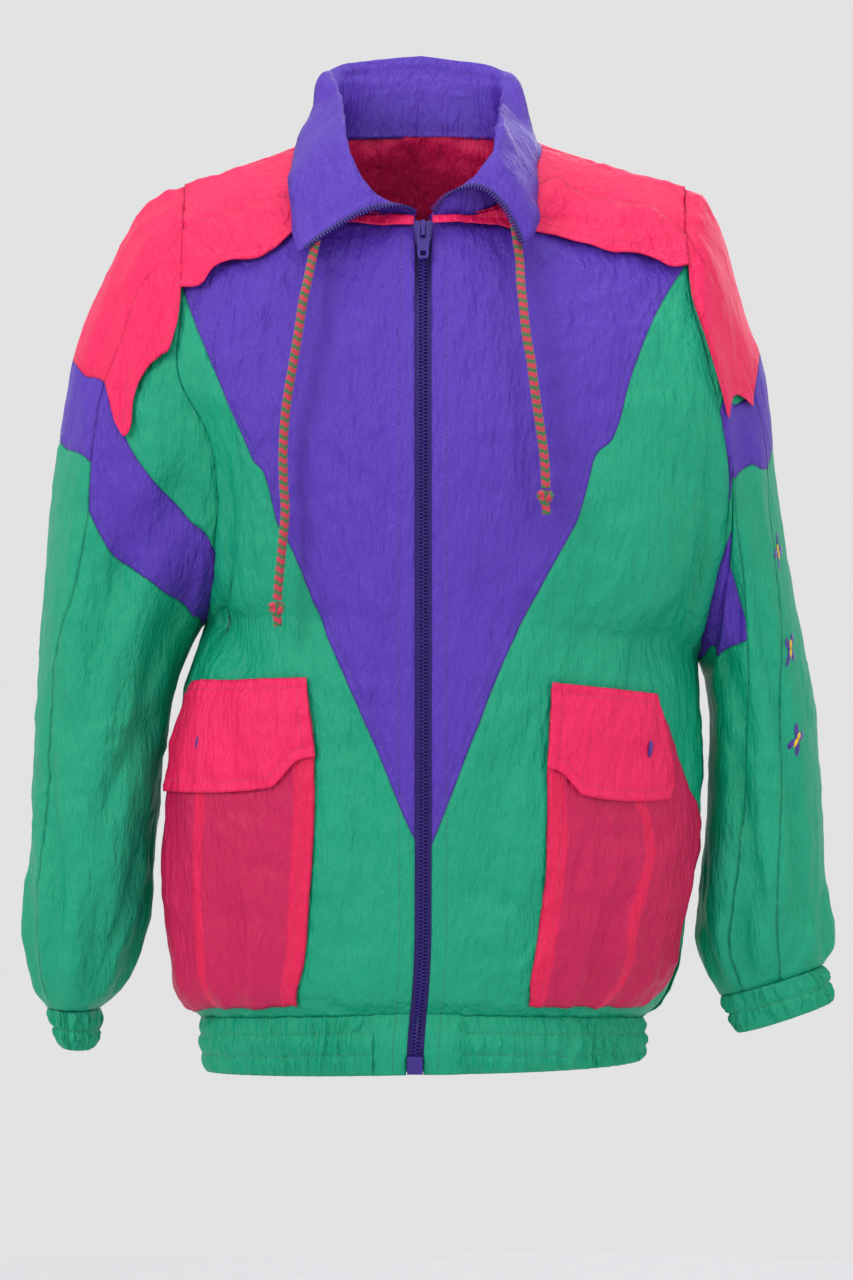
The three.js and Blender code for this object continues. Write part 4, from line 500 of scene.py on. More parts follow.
def lengths_along(points, axis):
    steps = np.linalg.norm(np.diff(points, axis=axis), axis=-1)
    start = np.zeros_like(np.take(steps, [0], axis=axis))
    return np.concatenate([start, np.cumsum(steps, axis=axis)], axis=axis)


def edge_distances(points):
    """Distance in mm of each grid point from the four edges, square to the edge."""
    along_u, along_w = lengths_along(points, 0), lengths_along(points, 1)
    way_u, way_w = unit(np.gradient(points, axis=0)), unit(np.gradient(points, axis=1))
    square = np.clip(np.linalg.norm(np.cross(way_u, way_w), axis=-1), 0.35, 1)
    return {
        "u0": along_u * square, "u1": (along_u[-1:] - along_u) * square,
        "w0": along_w * square, "w1": (along_w[:, -1:] - along_w) * square,
    }


def grid_faces(columns, rows, closed):
    across = columns if closed else columns - 1
    i, j = np.meshgrid(np.arange(across), np.arange(rows - 1), indexing="ij")
    a = i * rows + j
    b = ((i + 1) % columns) * rows + j
    return np.stack([a, b, b + 1, a + 1], -1).reshape(-1, 4)


def rim(columns, rows, closed):
    """The grid's border as a loop of point numbers, or two loops where it closes on itself."""
    first = np.arange(columns) * rows
    if closed:
        return [np.append(first, first[0]), np.append(first, first[0])[::-1] + rows - 1]
    low, high = first, first + rows - 1
    left, right = np.arange(rows), (columns - 1) * rows + np.arange(rows)
    return [np.concatenate([low, right[1:], high[::-1][1:], left[::-1][1:]])]


def mesh_object(name, vertices_mm, faces):
    mesh = bpy.data.meshes.new(name)
    mesh.from_pydata((np.asarray(vertices_mm) * MM).tolist(), [], [list(face) for face in faces])
    work = bmesh.new()
    work.from_mesh(mesh)
    if work.calc_volume(signed=True) < 0:
        bmesh.ops.reverse_faces(work, faces=work.faces)
    work.to_mesh(mesh)
    work.free()
    mesh.shade_smooth()
    made = bpy.data.objects.new(name, mesh)
    bpy.context.scene.collection.objects.link(made)
    return made


def mark(made, name, values):
    """Keeps one number for each point of a mesh, for a material to read."""
    attribute = made.data.attributes.new(name, "FLOAT", "POINT")
    attribute.data.foreach_set("value", np.asarray(values, np.float32).ravel())


def finish_piece(made, material, slot, rides="jacket", replaces=()):
    made.data.materials.append(material)
    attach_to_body(made, rides)
    if replaces:
        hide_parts(*replaces)
    return made


# %% One panel of cloth
SEAM_DIP, SEAM_WIDTH = 0.55, 2.0
SEAM_PUCKER, PUCKER_SIZE, PUCKER_REACH = 0.45, 3.2, 7
STITCH_DIP, STITCH_WIDTH = 0.5, 1.5
FAR_FROM_SEAMS = 99.0
LEAST_FILL = 0.4


def cloth(node, at, fabric, seams=EDGES, rows=(), trim=None, held="hung", hangs_from=("back_yoke",),
          closed=False, step=GRID_STEP, counts=None, shade=None, fullness=0.97, declared=True):
    """A sheet over at(u, w) in one of the fabrics.

    rows lists the sewn rows, each an edge and its distance from it in mm. Where trim is given, thread
    of the fabric's own colour runs along them and stops that many mm before their ends.
    """
    coarse = np.linspace(0, 1, 13)
    if counts is None:
        rough, _ = at(*np.meshgrid(coarse, coarse, indexing="ij"))
        wide, tall = lengths_along(rough, 0)[-1].max(), lengths_along(rough, 1)[:, -1].max()
        counts = [2 * max(3, math.ceil(length / step / 2)) for length in (wide, tall)]
    us = np.linspace(0, 1, counts[0] + 1)[: -1 if closed else None]
    ws = np.linspace(0, 1, counts[1] + 1)
    grid_u, grid_w = np.meshgrid(us, ws, indexing="ij")
    points, out = at(grid_u, grid_w)
    away = edge_distances(points)
    nearest = np.min([away[edge] for edge in seams], axis=0) if seams else FAR_FROM_SEAMS + 0 * grid_u
    pucker = SEAM_PUCKER * wave_field(points, (PUCKER_SIZE,) * 3, 11) * np.exp(-nearest / PUCKER_REACH)
    relief = pucker - SEAM_DIP * np.exp(-((nearest / SEAM_WIDTH) ** 2))
    for edge, distance in rows:
        relief = relief - STITCH_DIP * np.exp(-(((away[edge] - distance) / STITCH_WIDTH) ** 2))
    points = points + out * relief[..., None]
    inner = points - out * SHELL
    columns, count = points.shape[:2]
    faces = grid_faces(columns, count, closed)
    total = columns * count
    walls = [
        np.stack([loop[1:], loop[:-1], loop[:-1] + total, loop[1:] + total], -1)
        for loop in rim(columns, count, closed)
    ]
    every = np.concatenate([faces, faces[:, ::-1] + total, *walls])
    both = np.concatenate([points.reshape(-1, 3), inner.reshape(-1, 3)])
    made = mesh_object(f"cloth_{node}", both, every)
    mark(made, "seam_mm", np.tile(nearest.ravel(), 2))
    # The mask of painted highlight strips, which the material lightens
    mark(made, "painted_highlight_strips", np.tile((shade(grid_u, grid_w) if shade else 0 * grid_u).ravel(), 2))
    finish_piece(made, *FABRICS[fabric], replaces=[node])
    wide, tall = lengths_along(points, 0)[-1].max(), lengths_along(points, 1)[:, -1].max()
    a, b, c, d = (points.reshape(-1, 3)[faces[:, i]] for i in range(4))
    area = 0.5 * np.linalg.norm(np.cross(c - a, d - b), axis=-1).sum()
    # A pointed panel's flat width is taken from its area, because slanting rows measure too wide
    wide = min(wide, area / (LEAST_FILL * tall))
    hangs = [name for name in hangs_from if name != node]
    SHEETS[node] = (points, out, away)
    if trim is not None:
        sew_rows(fabric, node, rows, trim)
    return made


# %% [markdown]
# ## Sewing thread
# Topstitching is a row of short dashes that sit in a dent of the cloth. Each dash is a tiny closed
# grain of thread on the panel's own surface. All the dashes of one colour go into one mesh.

# %% Rows of stitches
STITCH_PITCH, STITCH_LENGTH, STITCH_HALF = 3.4, 2.5, 0.34
END_RISE, SIDE_RISE = 0.1, 0.15


def inset_line(node, edge, distance):
    """The line on a sheet that keeps a distance in mm from one edge."""
    points, out, away = SHEETS[node]
    far = away[edge]
    if edge[0] == "w":
        points, out, far = (np.swapaxes(x, 0, 1) for x in (points, out, far))
    if edge[1] == "1":
        points, out, far = points[::-1], out[::-1], far[::-1]
    index = np.array([np.interp(distance, far[:, j], np.arange(len(far))) for j in range(far.shape[1])])
    low = np.clip(np.floor(index).astype(int), 0, len(far) - 2)
    share, j = (index - low)[:, None], np.arange(far.shape[1])
    return mix(points[low, j], points[low + 1, j], share), unit(mix(out[low, j], out[low + 1, j], share))


def sew(thread, line, out, trim=0.0):
    """Puts dashes along a line, leaving trim mm free at both ends."""
    run = run_along(line)
    starts = np.arange(trim, run[-1] - trim - STITCH_LENGTH, STITCH_PITCH)
    if not len(starts):
        return

    def place(at, values):
        return np.stack([np.interp(at, run, values[:, i]) for i in range(3)], -1)

    a, b = place(starts, line), place(starts + STITCH_LENGTH, line)
    middle, up = place(starts + STITCH_LENGTH / 2, line), unit(place(starts, out))
    aside = unit(np.cross(b - a, up))
    rise = STITCH_HALF * 0.8 * up
    ends, sides = END_RISE * up, SIDE_RISE * up
    dashes = np.stack([a + ends, b + ends, middle + aside * STITCH_HALF + sides, middle + rise + sides,
                       middle - aside * STITCH_HALF + sides, middle - rise + sides], 1)
    SEWN.setdefault(thread, []).append(dashes)


def sew_rows(thread, node, rows, trim=1.0):
    for edge, distance in rows:
        sew(thread, *inset_line(node, edge, distance), trim)


def thread_mesh(thread):
    """All the dashes of one colour as one mesh, with the thread material of that colour."""
    dashes = np.concatenate(SEWN[thread])
    grain = np.array([[0, 2, 3], [0, 3, 4], [0, 4, 5], [0, 5, 2], [1, 3, 2], [1, 4, 3], [1, 5, 4], [1, 2, 5]])
    faces = (np.arange(len(dashes))[:, None, None] * 6 + grain).reshape(-1, 3)
    made = mesh_object(f"stitching_{thread}", dashes.reshape(-1, 3), faces)
    print(f"{thread} thread: {len(dashes)} stitches")
    return finish_piece(made, THREADS[thread], FABRICS[thread][1])


# %% [markdown]
# ## Materials
# Crinkled nylon has a soft silky sheen, a fine upright crinkle and slightly uneven dye. Its colour also
# carries painted shade in the crinkle's hollows and along seams, and painted highlight strips on the
# pockets. The maths of a material is written as plain expressions: a small class wraps a socket, so
# that adding or multiplying two values makes the nodes that do it.

# %% A class for shader maths
class Value:
    """A value that changes over a surface, for use in Python expressions."""

    def __init__(self, recipe, socket):
        self.recipe, self.socket = recipe, socket

    def maths(self, operation, first, second):
        return self.recipe.node("ShaderNodeMath", {"operation": operation}, {0: first, 1: second})

    def __add__(self, other):
        return self.maths("ADD", self, other)

    def __sub__(self, other):
        return self.maths("SUBTRACT", self, other)

    def __mul__(self, other):
        return self.maths("MULTIPLY", self, other)

    __radd__ = __add__


class Recipe:
    """One material. Every node comes from its node method."""

    def __init__(self, name):
        self.material = bpy.data.materials.new(name)
        self.material.use_nodes = True
        self.tree = self.material.node_tree
        self.tree.nodes.clear()

    def node(self, kind, settings=None, inputs=None, output=0):
        made = self.tree.nodes.new(kind)
        for name, setting in (settings or {}).items():
            setattr(made, name, setting)
        for key, value in (inputs or {}).items():
            if isinstance(value, Value):
                self.tree.links.new(value.socket, made.inputs[key])
            else:
                made.inputs[key].default_value = value
        return Value(self, made.outputs[output])

    def place(self, scale):
        """The place on the jacket in metres, stretched by a scale on each axis."""
        where = self.node("ShaderNodeTexCoord", output="Object")
        return self.node("ShaderNodeVectorMath", {"operation": "MULTIPLY"}, {0: where, 1: scale})

    def noise(self, scale, detail=2.0, roughness=0.5):
        return self.node("ShaderNodeTexNoise", inputs={
            "Vector": self.place(scale), "Scale": 1.0, "Detail": detail, "Roughness": roughness})

    def blend(self, factor, first, second):
        return self.node("ShaderNodeMix", {"data_type": "RGBA"}, {0: factor, 6: first, 7: second}, 2)

    def surface(self, **inputs):
        """The finished material. Each input is a socket's name in small letters, joined by _."""
        named = {key.replace("_", " ").title().replace("Ior", "IOR"): value for key, value in inputs.items()}
        shader = self.node("ShaderNodeBsdfPrincipled", inputs=named)
        end = self.tree.nodes.new("ShaderNodeOutputMaterial")
        self.tree.links.new(shader.socket, end.inputs["Surface"])
        return self.material


def dye(red, green, blue):
    """A screen colour as the linear colour that the shader works with."""
    shares = (red / 255, green / 255, blue / 255)
    linear = [c / 12.92 if c <= 0.04045 else ((c + 0.055) / 1.055) ** 2.4 for c in shares]
    return (*linear, 1.0)


def shade_of(colour, factor):
    return (*[min(1.0, c * factor) for c in colour[:3]], 1.0)


# %% Crinkled nylon
def nylon(name, colour, highlight_colour=None):
    recipe = Recipe(name)
    broad = recipe.noise((9, 9, 7), 3)
    upright = recipe.noise((290, 290, 80), 3, 0.6)
    creases = recipe.noise((110, 110, 34), 2)
    grain = recipe.noise((2600, 2600, 2600), 1)
    warp = recipe.noise((1500, 1500, 160), 1)
    ground = colour
    if highlight_colour:
        # Painted highlight: a mask of strips where the colour is lifted to a lighter crimson
        highlight_strips = recipe.node("ShaderNodeAttribute", {"attribute_name": "painted_highlight_strips"}, output="Fac")
        ground = recipe.blend(highlight_strips, colour, highlight_colour)
        dark = recipe.blend(highlight_strips, shade_of(colour, 0.72), shade_of(highlight_colour, 0.8))
        light = recipe.blend(highlight_strips, shade_of(colour, 1.12), shade_of(highlight_colour, 1.08))
    else:
        dark, light = shade_of(colour, 0.74), shade_of(colour, 1.12)
    # Broad patches of uneven dye, and painted shade: the upright crinkle also raises the bump, so its hollows
    # are coloured darker
    tone = recipe.blend(broad * 0.7 + upright * 0.3, dark, light)
    # Painted shade: within about 2 mm of a seam the colour darkens towards half, as shade falls in the seam's
    # dip
    seam = recipe.node("ShaderNodeAttribute", {"attribute_name": "seam_mm"}, output="Fac")
    painted_seam_shade = recipe.node("ShaderNodeMapRange", {"interpolation_type": "SMOOTHSTEP"},
                          {"Value": seam, "From Min": 0.0, "From Max": 1.8, "To Min": 0.5, "To Max": 0.0})
    tone = recipe.blend(0.45, tone, ground)
    tone = recipe.blend(painted_seam_shade, tone, shade_of(colour, 0.5))
    # Two scales of folded cloth: an open upright crinkle and the thread's own fine cord
    height = upright * 0.8 + creases * 1.1 + grain * 0.05 + warp * 0.08
    bump = recipe.node("ShaderNodeBump", inputs={"Height": height, "Strength": 0.85, "Distance": 0.0036})
    roughness = 0.42 + (upright - 0.5) * 0.25 + grain * 0.05
    return recipe.surface(base_color=tone, roughness=roughness, normal=bump,
                          sheen_weight=0.06, sheen_roughness=0.4, sheen_tint=shade_of(colour, 1.3),
                          specular_ior_level=0.36)


# Each fabric is a material and the frame's slot for it
FABRICS = {
    "pink": (nylon("pink_nylon", dye(244, 22, 92)), "nylon_pink"),
    # The crimson's second, lighter colour is for its painted highlight strips
    "crimson": (nylon("crimson_nylon", dye(204, 14, 84), highlight_colour=dye(232, 16, 82)), "nylon_crimson"),
    "purple": (nylon("purple_nylon", dye(84, 48, 178)), "nylon_purple"),
    "green": (nylon("green_nylon", dye(0, 162, 122)), "nylon_green"),
}


# %% Thread, plastic and tape
EDGE_RADIUS = 0.0004


def thread(name, colour):
    recipe = Recipe(name)
    twist = recipe.noise((3000, 3000, 3000), 1)
    tone = recipe.blend(twist, shade_of(colour, 0.7), colour)
    bump = recipe.node("ShaderNodeBump", inputs={"Height": twist, "Strength": 0.3, "Distance": 0.0002})
    return recipe.surface(base_color=tone, roughness=0.5, normal=bump, sheen_weight=0.4)


def plastic(name, colour):
    recipe = Recipe(name)
    wear = recipe.noise((420, 420, 420), 3)
    haze = recipe.noise((60, 60, 60), 2)
    tone = recipe.blend(haze, shade_of(colour, 0.8), shade_of(colour, 1.15))
    rounded = recipe.node("ShaderNodeBevel", {"samples": 4}, {"Radius": EDGE_RADIUS})
    bump = recipe.node("ShaderNodeBump", inputs={
        "Height": wear, "Strength": 0.12, "Distance": 0.0003, "Normal": rounded})
    return recipe.surface(base_color=tone, roughness=0.28 + wear * 0.2, normal=bump, specular_ior_level=0.5)


def woven_tape(name, colour):
    recipe = Recipe(name)
    ribs = recipe.node("ShaderNodeTexWave", {"bands_direction": "DIAGONAL"}, {
        "Vector": recipe.place((900, 900, 900)), "Scale": 1.0, "Distortion": 0.6, "Detail": 1.0})
    fuzz = recipe.noise((1400, 1400, 1400), 1)
    tone = recipe.blend(ribs * 0.6 + fuzz * 0.4, shade_of(colour, 0.6), shade_of(colour, 1.2))
    bump = recipe.node("ShaderNodeBump", inputs={"Height": ribs, "Strength": 0.4, "Distance": 0.0003})
    return recipe.surface(base_color=tone, roughness=0.7, normal=bump, sheen_weight=0.3)


ZIP_PURPLE = dye(50, 28, 128)
THREADS = {
    "pink": thread("pink_thread", dye(206, 14, 70)),
    "crimson": thread("crimson_thread", dye(232, 16, 82)),
    "purple": thread("purple_thread", dye(62, 34, 146)),
    "green": thread("green_thread", dye(0, 128, 98)),
    "yellow": thread("yellow_thread", dye(244, 204, 40)),
}
ZIP_PLASTIC = plastic("zip_plastic_purple", ZIP_PURPLE)
BUTTON_PLASTIC = plastic("button_plastic_purple", dye(70, 40, 132))
FABRICS["zip_tape"] = (woven_tape("zip_tape_purple", ZIP_PURPLE), "zip_tape_weave")
print("materials:", len(bpy.data.materials))

# %% [markdown]
# ## Drawcords
# A drawcord runs in the collar's casing and comes out of a hole near each front end. It is a limp
# braid of pink and green yarn, 6.6 mm thick, that hangs under its own weight in front of the front panels.
# The tube is made ring by ring along a smooth path, because a braid needs relief on both diagonals.

# %% Collar tables and surface
COLLAR_LIFT = 0.7
COLLAR_FROM_ZIP = 6
CREST_SHARE = 0.46

COLLAR = {
    -1: table("around cx cy cz ex ey ez", [
      [0, 33, -98, -52, 86, -108, -85], [30, 42, -92, -36, 92, -92, -68], [60, 54, -66, -2, 94, -54, -28],
      [85, 58, -22, 27, 91, -10, 6], [105, 61, 8, 42, 80, 18, 30], [125, 62, 34, 46, 73, 38, 58],
      [150, 42, 62, 48, 50, 68, 72], [180, 0, 73, 50, 0, 82, 78],
    ]),
    1: table("around cx cy cz ex ey ez", [
      [0, 41, -96, -37, 73, -108, -83], [30, 50, -88, -18, 82, -92, -62], [60, 56, -62, 6, 82, -54, -30],
      [85, 57, -22, 26, 84, -10, 2], [105, 58, 8, 36, 80, 14, 24], [125, 60, 34, 44, 72, 36, 52],
      [150, 42, 62, 47, 50, 68, 70], [180, 0, 73, 50, 0, 82, 78],
    ]),
}


def collar_point(side, around, v):
    around, v = together(around, v)
    rows = COLLAR[side]
    foot = neckline(side, around)
    foot[..., 2] += COLLAR_LIFT
    foot[..., 0] += (read(ZIP_DRIFT, "z", "x", NECK_PIT_Z) * (1 - smooth(0, 60, around))
                     + side * COLLAR_FROM_ZIP * (1 - smooth(0, 25, around)))
    crest = read_place(rows, "around", ("cx", "cy", "cz"), around, side)
    edge = read_place(rows, "around", ("ex", "ey", "ez"), around, side)
    c = CREST_SHARE
    shares = ((v - c) * (v - 1) / c, v * (v - 1) / (c * (c - 1)), v * (v - c) / (1 - c))
    return sum(share[..., None] * place for share, place in zip(shares, (foot, crest, edge)))


def collar_out(side, around, v):
    return side * slope_across(lambda a, b: collar_point(side, a * 100, b), around / 100, v, (0, 1.8), (0, 1))


# %% Cord paths
CORDS = {
    -1: table("x y z", [
      [-77.5, -110, -93], [-79.5, -115, -104], [-83, -121, -121], [-86, -125, -142], [-89.5, -128, -164],
      [-93, -130, -185], [-95.5, -131, -206], [-96.5, -132, -228], [-96, -132, -250], [-95, -133, -268],
      [-97, -133, -292], [-99, -133, -312], [-100.5, -133, -330],
    ]),
    1: table("x y z", [
      [69.5, -102, -87], [70, -107, -97], [70.5, -115, -109], [72, -122, -125], [74, -128, -145],
      [77, -131, -162], [79, -134, -178], [81.5, -136, -197], [84.5, -137, -217], [86.5, -138, -234],
      [87.2, -138, -252],
    ]),
}

CORD_DIAMETER = 6.6
CORD_STEP = 0.8
CORD_AROUND = {-1: 5, 1: 11}
CORD_V = {-1: 0.9, 1: 0.84}


def smooth_path(points, step):
    """A curve through points, listed again at equal steps along it."""
    ends = np.concatenate([[2 * points[0] - points[1]], points, [2 * points[-1] - points[-2]]])
    t = np.linspace(0, 1, 40, endpoint=False)[:, None]
    parts = []
    for a, b, c, d in zip(ends, ends[1:], ends[2:], ends[3:]):
        bend, twist = 2 * a - 5 * b + 4 * c - d, 3 * b - a - 3 * c + d
        parts.append(0.5 * (2 * b + (c - a) * t + bend * t**2 + twist * t**3))
    dense = np.concatenate([*parts, points[-1:]])
    run = run_along(dense)
    at = np.linspace(0, run[-1], max(2, round(run[-1] / step)) + 1)
    return np.stack([np.interp(at, run, dense[:, i]) for i in range(3)], -1), run[-1]


def side_ways(path, closed=False):
    """Two directions square to a path at each of its points, without a twist."""
    ahead = np.roll(path, -1, 0) - np.roll(path, 1, 0) if closed else np.gradient(path, axis=0)
    ahead = unit(ahead)
    first = unit(np.cross(ahead[0], (0.3, 1, 0.2)))
    ways = []
    for way in ahead:
        first = unit(first - way * first.dot(way))
        ways.append(first)
    first = np.array(ways)
    return first, np.cross(ahead, first)


# %% A braided tube
BRAID_AROUND, BRAID_PITCH, BRAID_RELIEF = 32, 6.4, 0.5


def braid(path, radius, taper=0.0, closed=False, strands=4):
    """Points, faces and yarn colour of a braid along a path."""
    first, second = side_ways(path, closed)
    run = np.arange(len(path)) * np.linalg.norm(path[1] - path[0])
    turn = np.arange(BRAID_AROUND) * 2 * np.pi / BRAID_AROUND
    right = strands * turn[None] + 2 * np.pi * strands * run[:, None] / (BRAID_PITCH * 2)
    left = strands * turn[None] - 2 * np.pi * strands * run[:, None] / (BRAID_PITCH * 2)
    over = np.sin(right / 2 + np.pi / 4) * np.sin(left / 2 + np.pi / 4) > 0
    relief = np.where(over, np.abs(np.sin(right)), np.abs(np.sin(left)))
    thin = (1 - taper * np.linspace(0, 1, len(path)))[:, None]
    radii = (radius - BRAID_RELIEF + BRAID_RELIEF * relief) * thin
    rings = path[:, None] + radii[..., None] * (
        np.cos(turn)[None, :, None] * first[:, None] + np.sin(turn)[None, :, None] * second[:, None])
    green = np.sin(np.pi * 2 * run[:, None] / BRAID_PITCH + 2.2 * np.abs(np.sin(turn[None] - 0.8))) > 0.15
    points, colour = np.swapaxes(rings, 0, 1).reshape(-1, 3), green.T.astype(float).ravel()
    count = len(path)
    if closed:
        i, j = np.meshgrid(np.arange(BRAID_AROUND), np.arange(count), indexing="ij")
        here, beside, ahead = i * count, ((i + 1) % BRAID_AROUND) * count, (j + 1) % count
        faces = np.stack([here + j, beside + j, beside + ahead, here + ahead], -1).reshape(-1, 4)
        return points, faces.tolist(), colour
    start = np.arange(BRAID_AROUND) * count
    caps = [start.tolist()[::-1], (start + count - 1).tolist()]
    return points, grid_faces(BRAID_AROUND, count, True).tolist() + caps, colour


def cord_material():
    recipe = Recipe("braided_cord")
    yarn = recipe.node("ShaderNodeAttribute", {"attribute_name": "green_yarn"}, output="Fac")
    fibre = recipe.noise((2400, 2400, 2400), 2)
    pink = recipe.blend(fibre, dye(160, 20, 48), dye(236, 60, 92))
    green = recipe.blend(fibre, dye(18, 70, 44), dye(64, 140, 84))
    bump = recipe.node("ShaderNodeBump", inputs={"Height": fibre, "Strength": 0.5, "Distance": 0.0004})
    tone = recipe.blend(yarn, pink, green)
    return recipe.surface(base_color=tone, roughness=0.8, normal=bump, sheen_weight=0.3)


CORD_BRAID = cord_material()


# %% Knots and cords
KNOT_SCALE, KNOT_YARN = 1.28, 2.6
KNOT_FROM_END = (-0.5, 0, -6.3)
TAIL_RADIUS = 2.9
# The tail's path from the knot's middle
TAIL = np.array([(0, 0, -4.0), (0.6, 0, -7.0), (1.2, 0.2, -12.0)])


def knot_piece(side, end):
    """An overhand knot, drawn as a trefoil, with the short free tail of the cord below it."""
    t = np.linspace(0, 2 * np.pi, 90, endpoint=False)
    trefoil = np.sin(t) + 2 * np.sin(2 * t), -0.9 * np.sin(3 * t), np.cos(t) - 2 * np.cos(2 * t)
    centre = end + KNOT_FROM_END
    loop = KNOT_SCALE * np.stack(trefoil, -1) + centre
    points, faces, colour = braid(loop, KNOT_YARN, closed=True, strands=3)
    tail = braid(smooth_path(centre + TAIL, 0.7)[0], TAIL_RADIUS, taper=-0.12)
    every = faces + [[i + len(points) for i in face] for face in tail[1]]
    made = mesh_object(f"cord_knot_{SIDE_NAME[side]}", np.concatenate([points, tail[0]]), every)
    mark(made, "green_yarn", np.concatenate([colour, tail[2]]))
    return finish_piece(made, CORD_BRAID, "cord_braid", replaces=[f"drawcord_knot_{SIDE_NAME[side]}"])


def drawcord(side):
    start = collar_point(side, CORD_AROUND[side], CORD_V[side])
    start = start + collar_out(side, CORD_AROUND[side], CORD_V[side]) * (CORD_DIAMETER / 2 + 0.5)
    rows = CORDS[side]
    points = np.concatenate([start[None], np.stack([rows["x"], rows["y"], rows["z"]], -1)])
    path, length = smooth_path(points, CORD_STEP)
    vertices, faces, colour = braid(path, CORD_DIAMETER / 2)
    made = mesh_object(f"cord_{SIDE_NAME[side]}", vertices, faces)
    mark(made, "green_yarn", colour)
    finish_piece(made, CORD_BRAID, "cord_braid", replaces=[f"drawcord_{SIDE_NAME[side]}"])
    knot = knot_piece(side, points[-1])
    print(f"cord {SIDE_NAME[side]}: {length:.0f} mm")


for side in SIDES:
    drawcord(side)

# %% [markdown]
# ## Front and back panels
# The front is pieced like a big V: a purple centre that narrows to the zip's foot, green sides and a
# pink yoke whose lower edge is a loose scalloped flap. The back repeats it. The seams were measured on
# the photograph as half width by height, so a panel's rows run between two of those lines.

# %% Body seams
PLACKET_HALF = 6
LAYER_GAP = 1.2
FLAP_LIFT, FLAP_STAND = 2.6, 1.8
SHOULDER_SHARE = 0.62
# Distance in mm of the sewn rows from the edge they follow
SEAM_ROW, FLAP_ROW, PLACKET_ROW = 5, 9, ("u0", 10)

V_SEAM = {
    -1: table("x z", [
      [0, -506], [11, -484], [27, -445], [64, -360], [92, -294], [102, -273],
      [109, -243], [119, -230], [129, -208], [143, -177], [155, -148], [171, -104],
    ]),
    1: table("x z", [
      [0, -514], [9, -498], [59, -371], [110, -274], [115, -258], [123, -229], [134, -218], [139, -207],
      [149, -171], [166, -128], [190, -88],
    ]),
}

BACK_V_SEAM = table("x z", [[0, -470], [60, -340], [110, -235], [150, -175], [210, -135]])

FRONT_FLAP = {
    -1: table("p attach edge", [
      [0, 0.94, 0.925], [0.14, 0.962, 0.928], [0.28, 0.968, 0.93], [0.45, 0.966, 0.928], [0.5, 0.965, 0.912],
      [0.57, 0.963, 0.902], [0.7, 0.958, 0.902], [0.79, 0.953, 0.898], [0.84, 0.951, 0.884],
      [1, 0.9405, 0.886],
    ]),
    1: table("p attach edge", [
      [0, 0.94, 0.925], [0.14, 0.976, 0.93], [0.3, 0.974, 0.93], [0.41, 0.971, 0.928], [0.53, 0.969, 0.915],
      [0.6, 0.969, 0.909], [0.79, 0.964, 0.911], [0.88, 0.957, 0.902], [1, 0.9405, 0.907],
    ]),
}

BACK_FLAP = table("p attach edge", [
    [0, 0.8, 0.71], [0.2, 0.802, 0.71], [0.35, 0.81, 0.718], [0.45, 0.822, 0.745], [0.65, 0.86, 0.775],
    [0.8, 0.9, 0.81], [1, 0.9405, 0.855],
])


def placket_p(side, k):
    flat = 1 - smooth(0.86, 0.97, k)
    width = np.abs(side_line(side, k)[..., 0] - centre_line(side, k)[..., 0]) * mix(1, QUARTER_ROUND, flat)
    return PLACKET_HALF / width * (1 - smooth(0.945, 0.975, k))


def front_p(side, u, k):
    return mix(placket_p(side, k), 1, u)


def cross_k(side, u, seam, low, high):
    def under(k):
        front = k <= 1
        points = plain_body(side, np.where(front, front_p(side, u, k), u), k)
        return (points[..., 2] < read(seam, "x", "z", np.abs(points[..., 0]))) == front

    return bisect(under, low + 0 * u, high + 0 * u)


def front_attach(side, p):
    return read(FRONT_FLAP[side], "p", "attach", p)


def front_edge(side, p):
    return read(FRONT_FLAP[side], "p", "edge", p)


def v_k(side, u):
    return cross_k(side, u, V_SEAM[side], 0.02, np.minimum(0.93, front_attach(side, u) - 0.012))


def back_v_k(side, p):
    return cross_k(side, p, BACK_V_SEAM, 1.02, 1.98)


def back_attach(side, p):
    return 2 - read(BACK_FLAP, "p", "attach", p)


def back_edge(side, p):
    return 2 - read(BACK_FLAP, "p", "edge", p)


# %% Front panels
def between(low, high):
    """Rows of a grid between two lines, each a function of the column alone."""
    def at(u, w):
        columns = u[:, 0]
        return mix(low(columns)[:, None], high(columns)[:, None], w)

    return at


def loose(u, w, seed):
    """Waves of a loose flap's free edge, at w 0."""
    return 1.1 * (1 - w) ** 2 * (1 + wave_field(pack(u * 100, 0 * u, w * 20 + seed * 40), (7, 7, 20), 21))


def build_front(side):
    name = SIDE_NAME[side]

    def front(rows, lift=lambda u, w: 0 * u):
        def at(u, w):
            k = rows(u, w)
            return body(side, front_p(side, u, k), k, lift(u, w))
        return at

    v_seam, attach = (lambda u: v_k(side, u)), (lambda u: front_attach(side, u))
    cloth(f"front_upper_{name}", front(between(v_seam, attach)), "purple", seams=("u1", "w0", "w1"),
          rows=[PLACKET_ROW, ("w0", SEAM_ROW)], trim=2)
    cloth(f"front_side_{name}", front(between(lambda u: 0 * u, v_seam)), "green", seams=("w0", "w1"),
          rows=[PLACKET_ROW], trim=2)
    cloth(f"front_yoke_{name}", front(between(attach, lambda u: 0 * u + 1)), "pink", rows=[("w0", SEAM_ROW)])

    def flap_lift(u, w):
        low = mix(FLAP_LIFT, LAYER_GAP, w) + FLAP_STAND * (1 - smooth(0.15, 0.45, u))
        return low + CLOTH + loose(u, w, side)

    cloth(f"front_flap_{name}", front(between(lambda u: front_edge(side, u), attach), flap_lift), "pink",
          seams=("w1",), rows=[("w0", FLAP_ROW)], trim=3)


for side in SIDES:
    build_front(side)


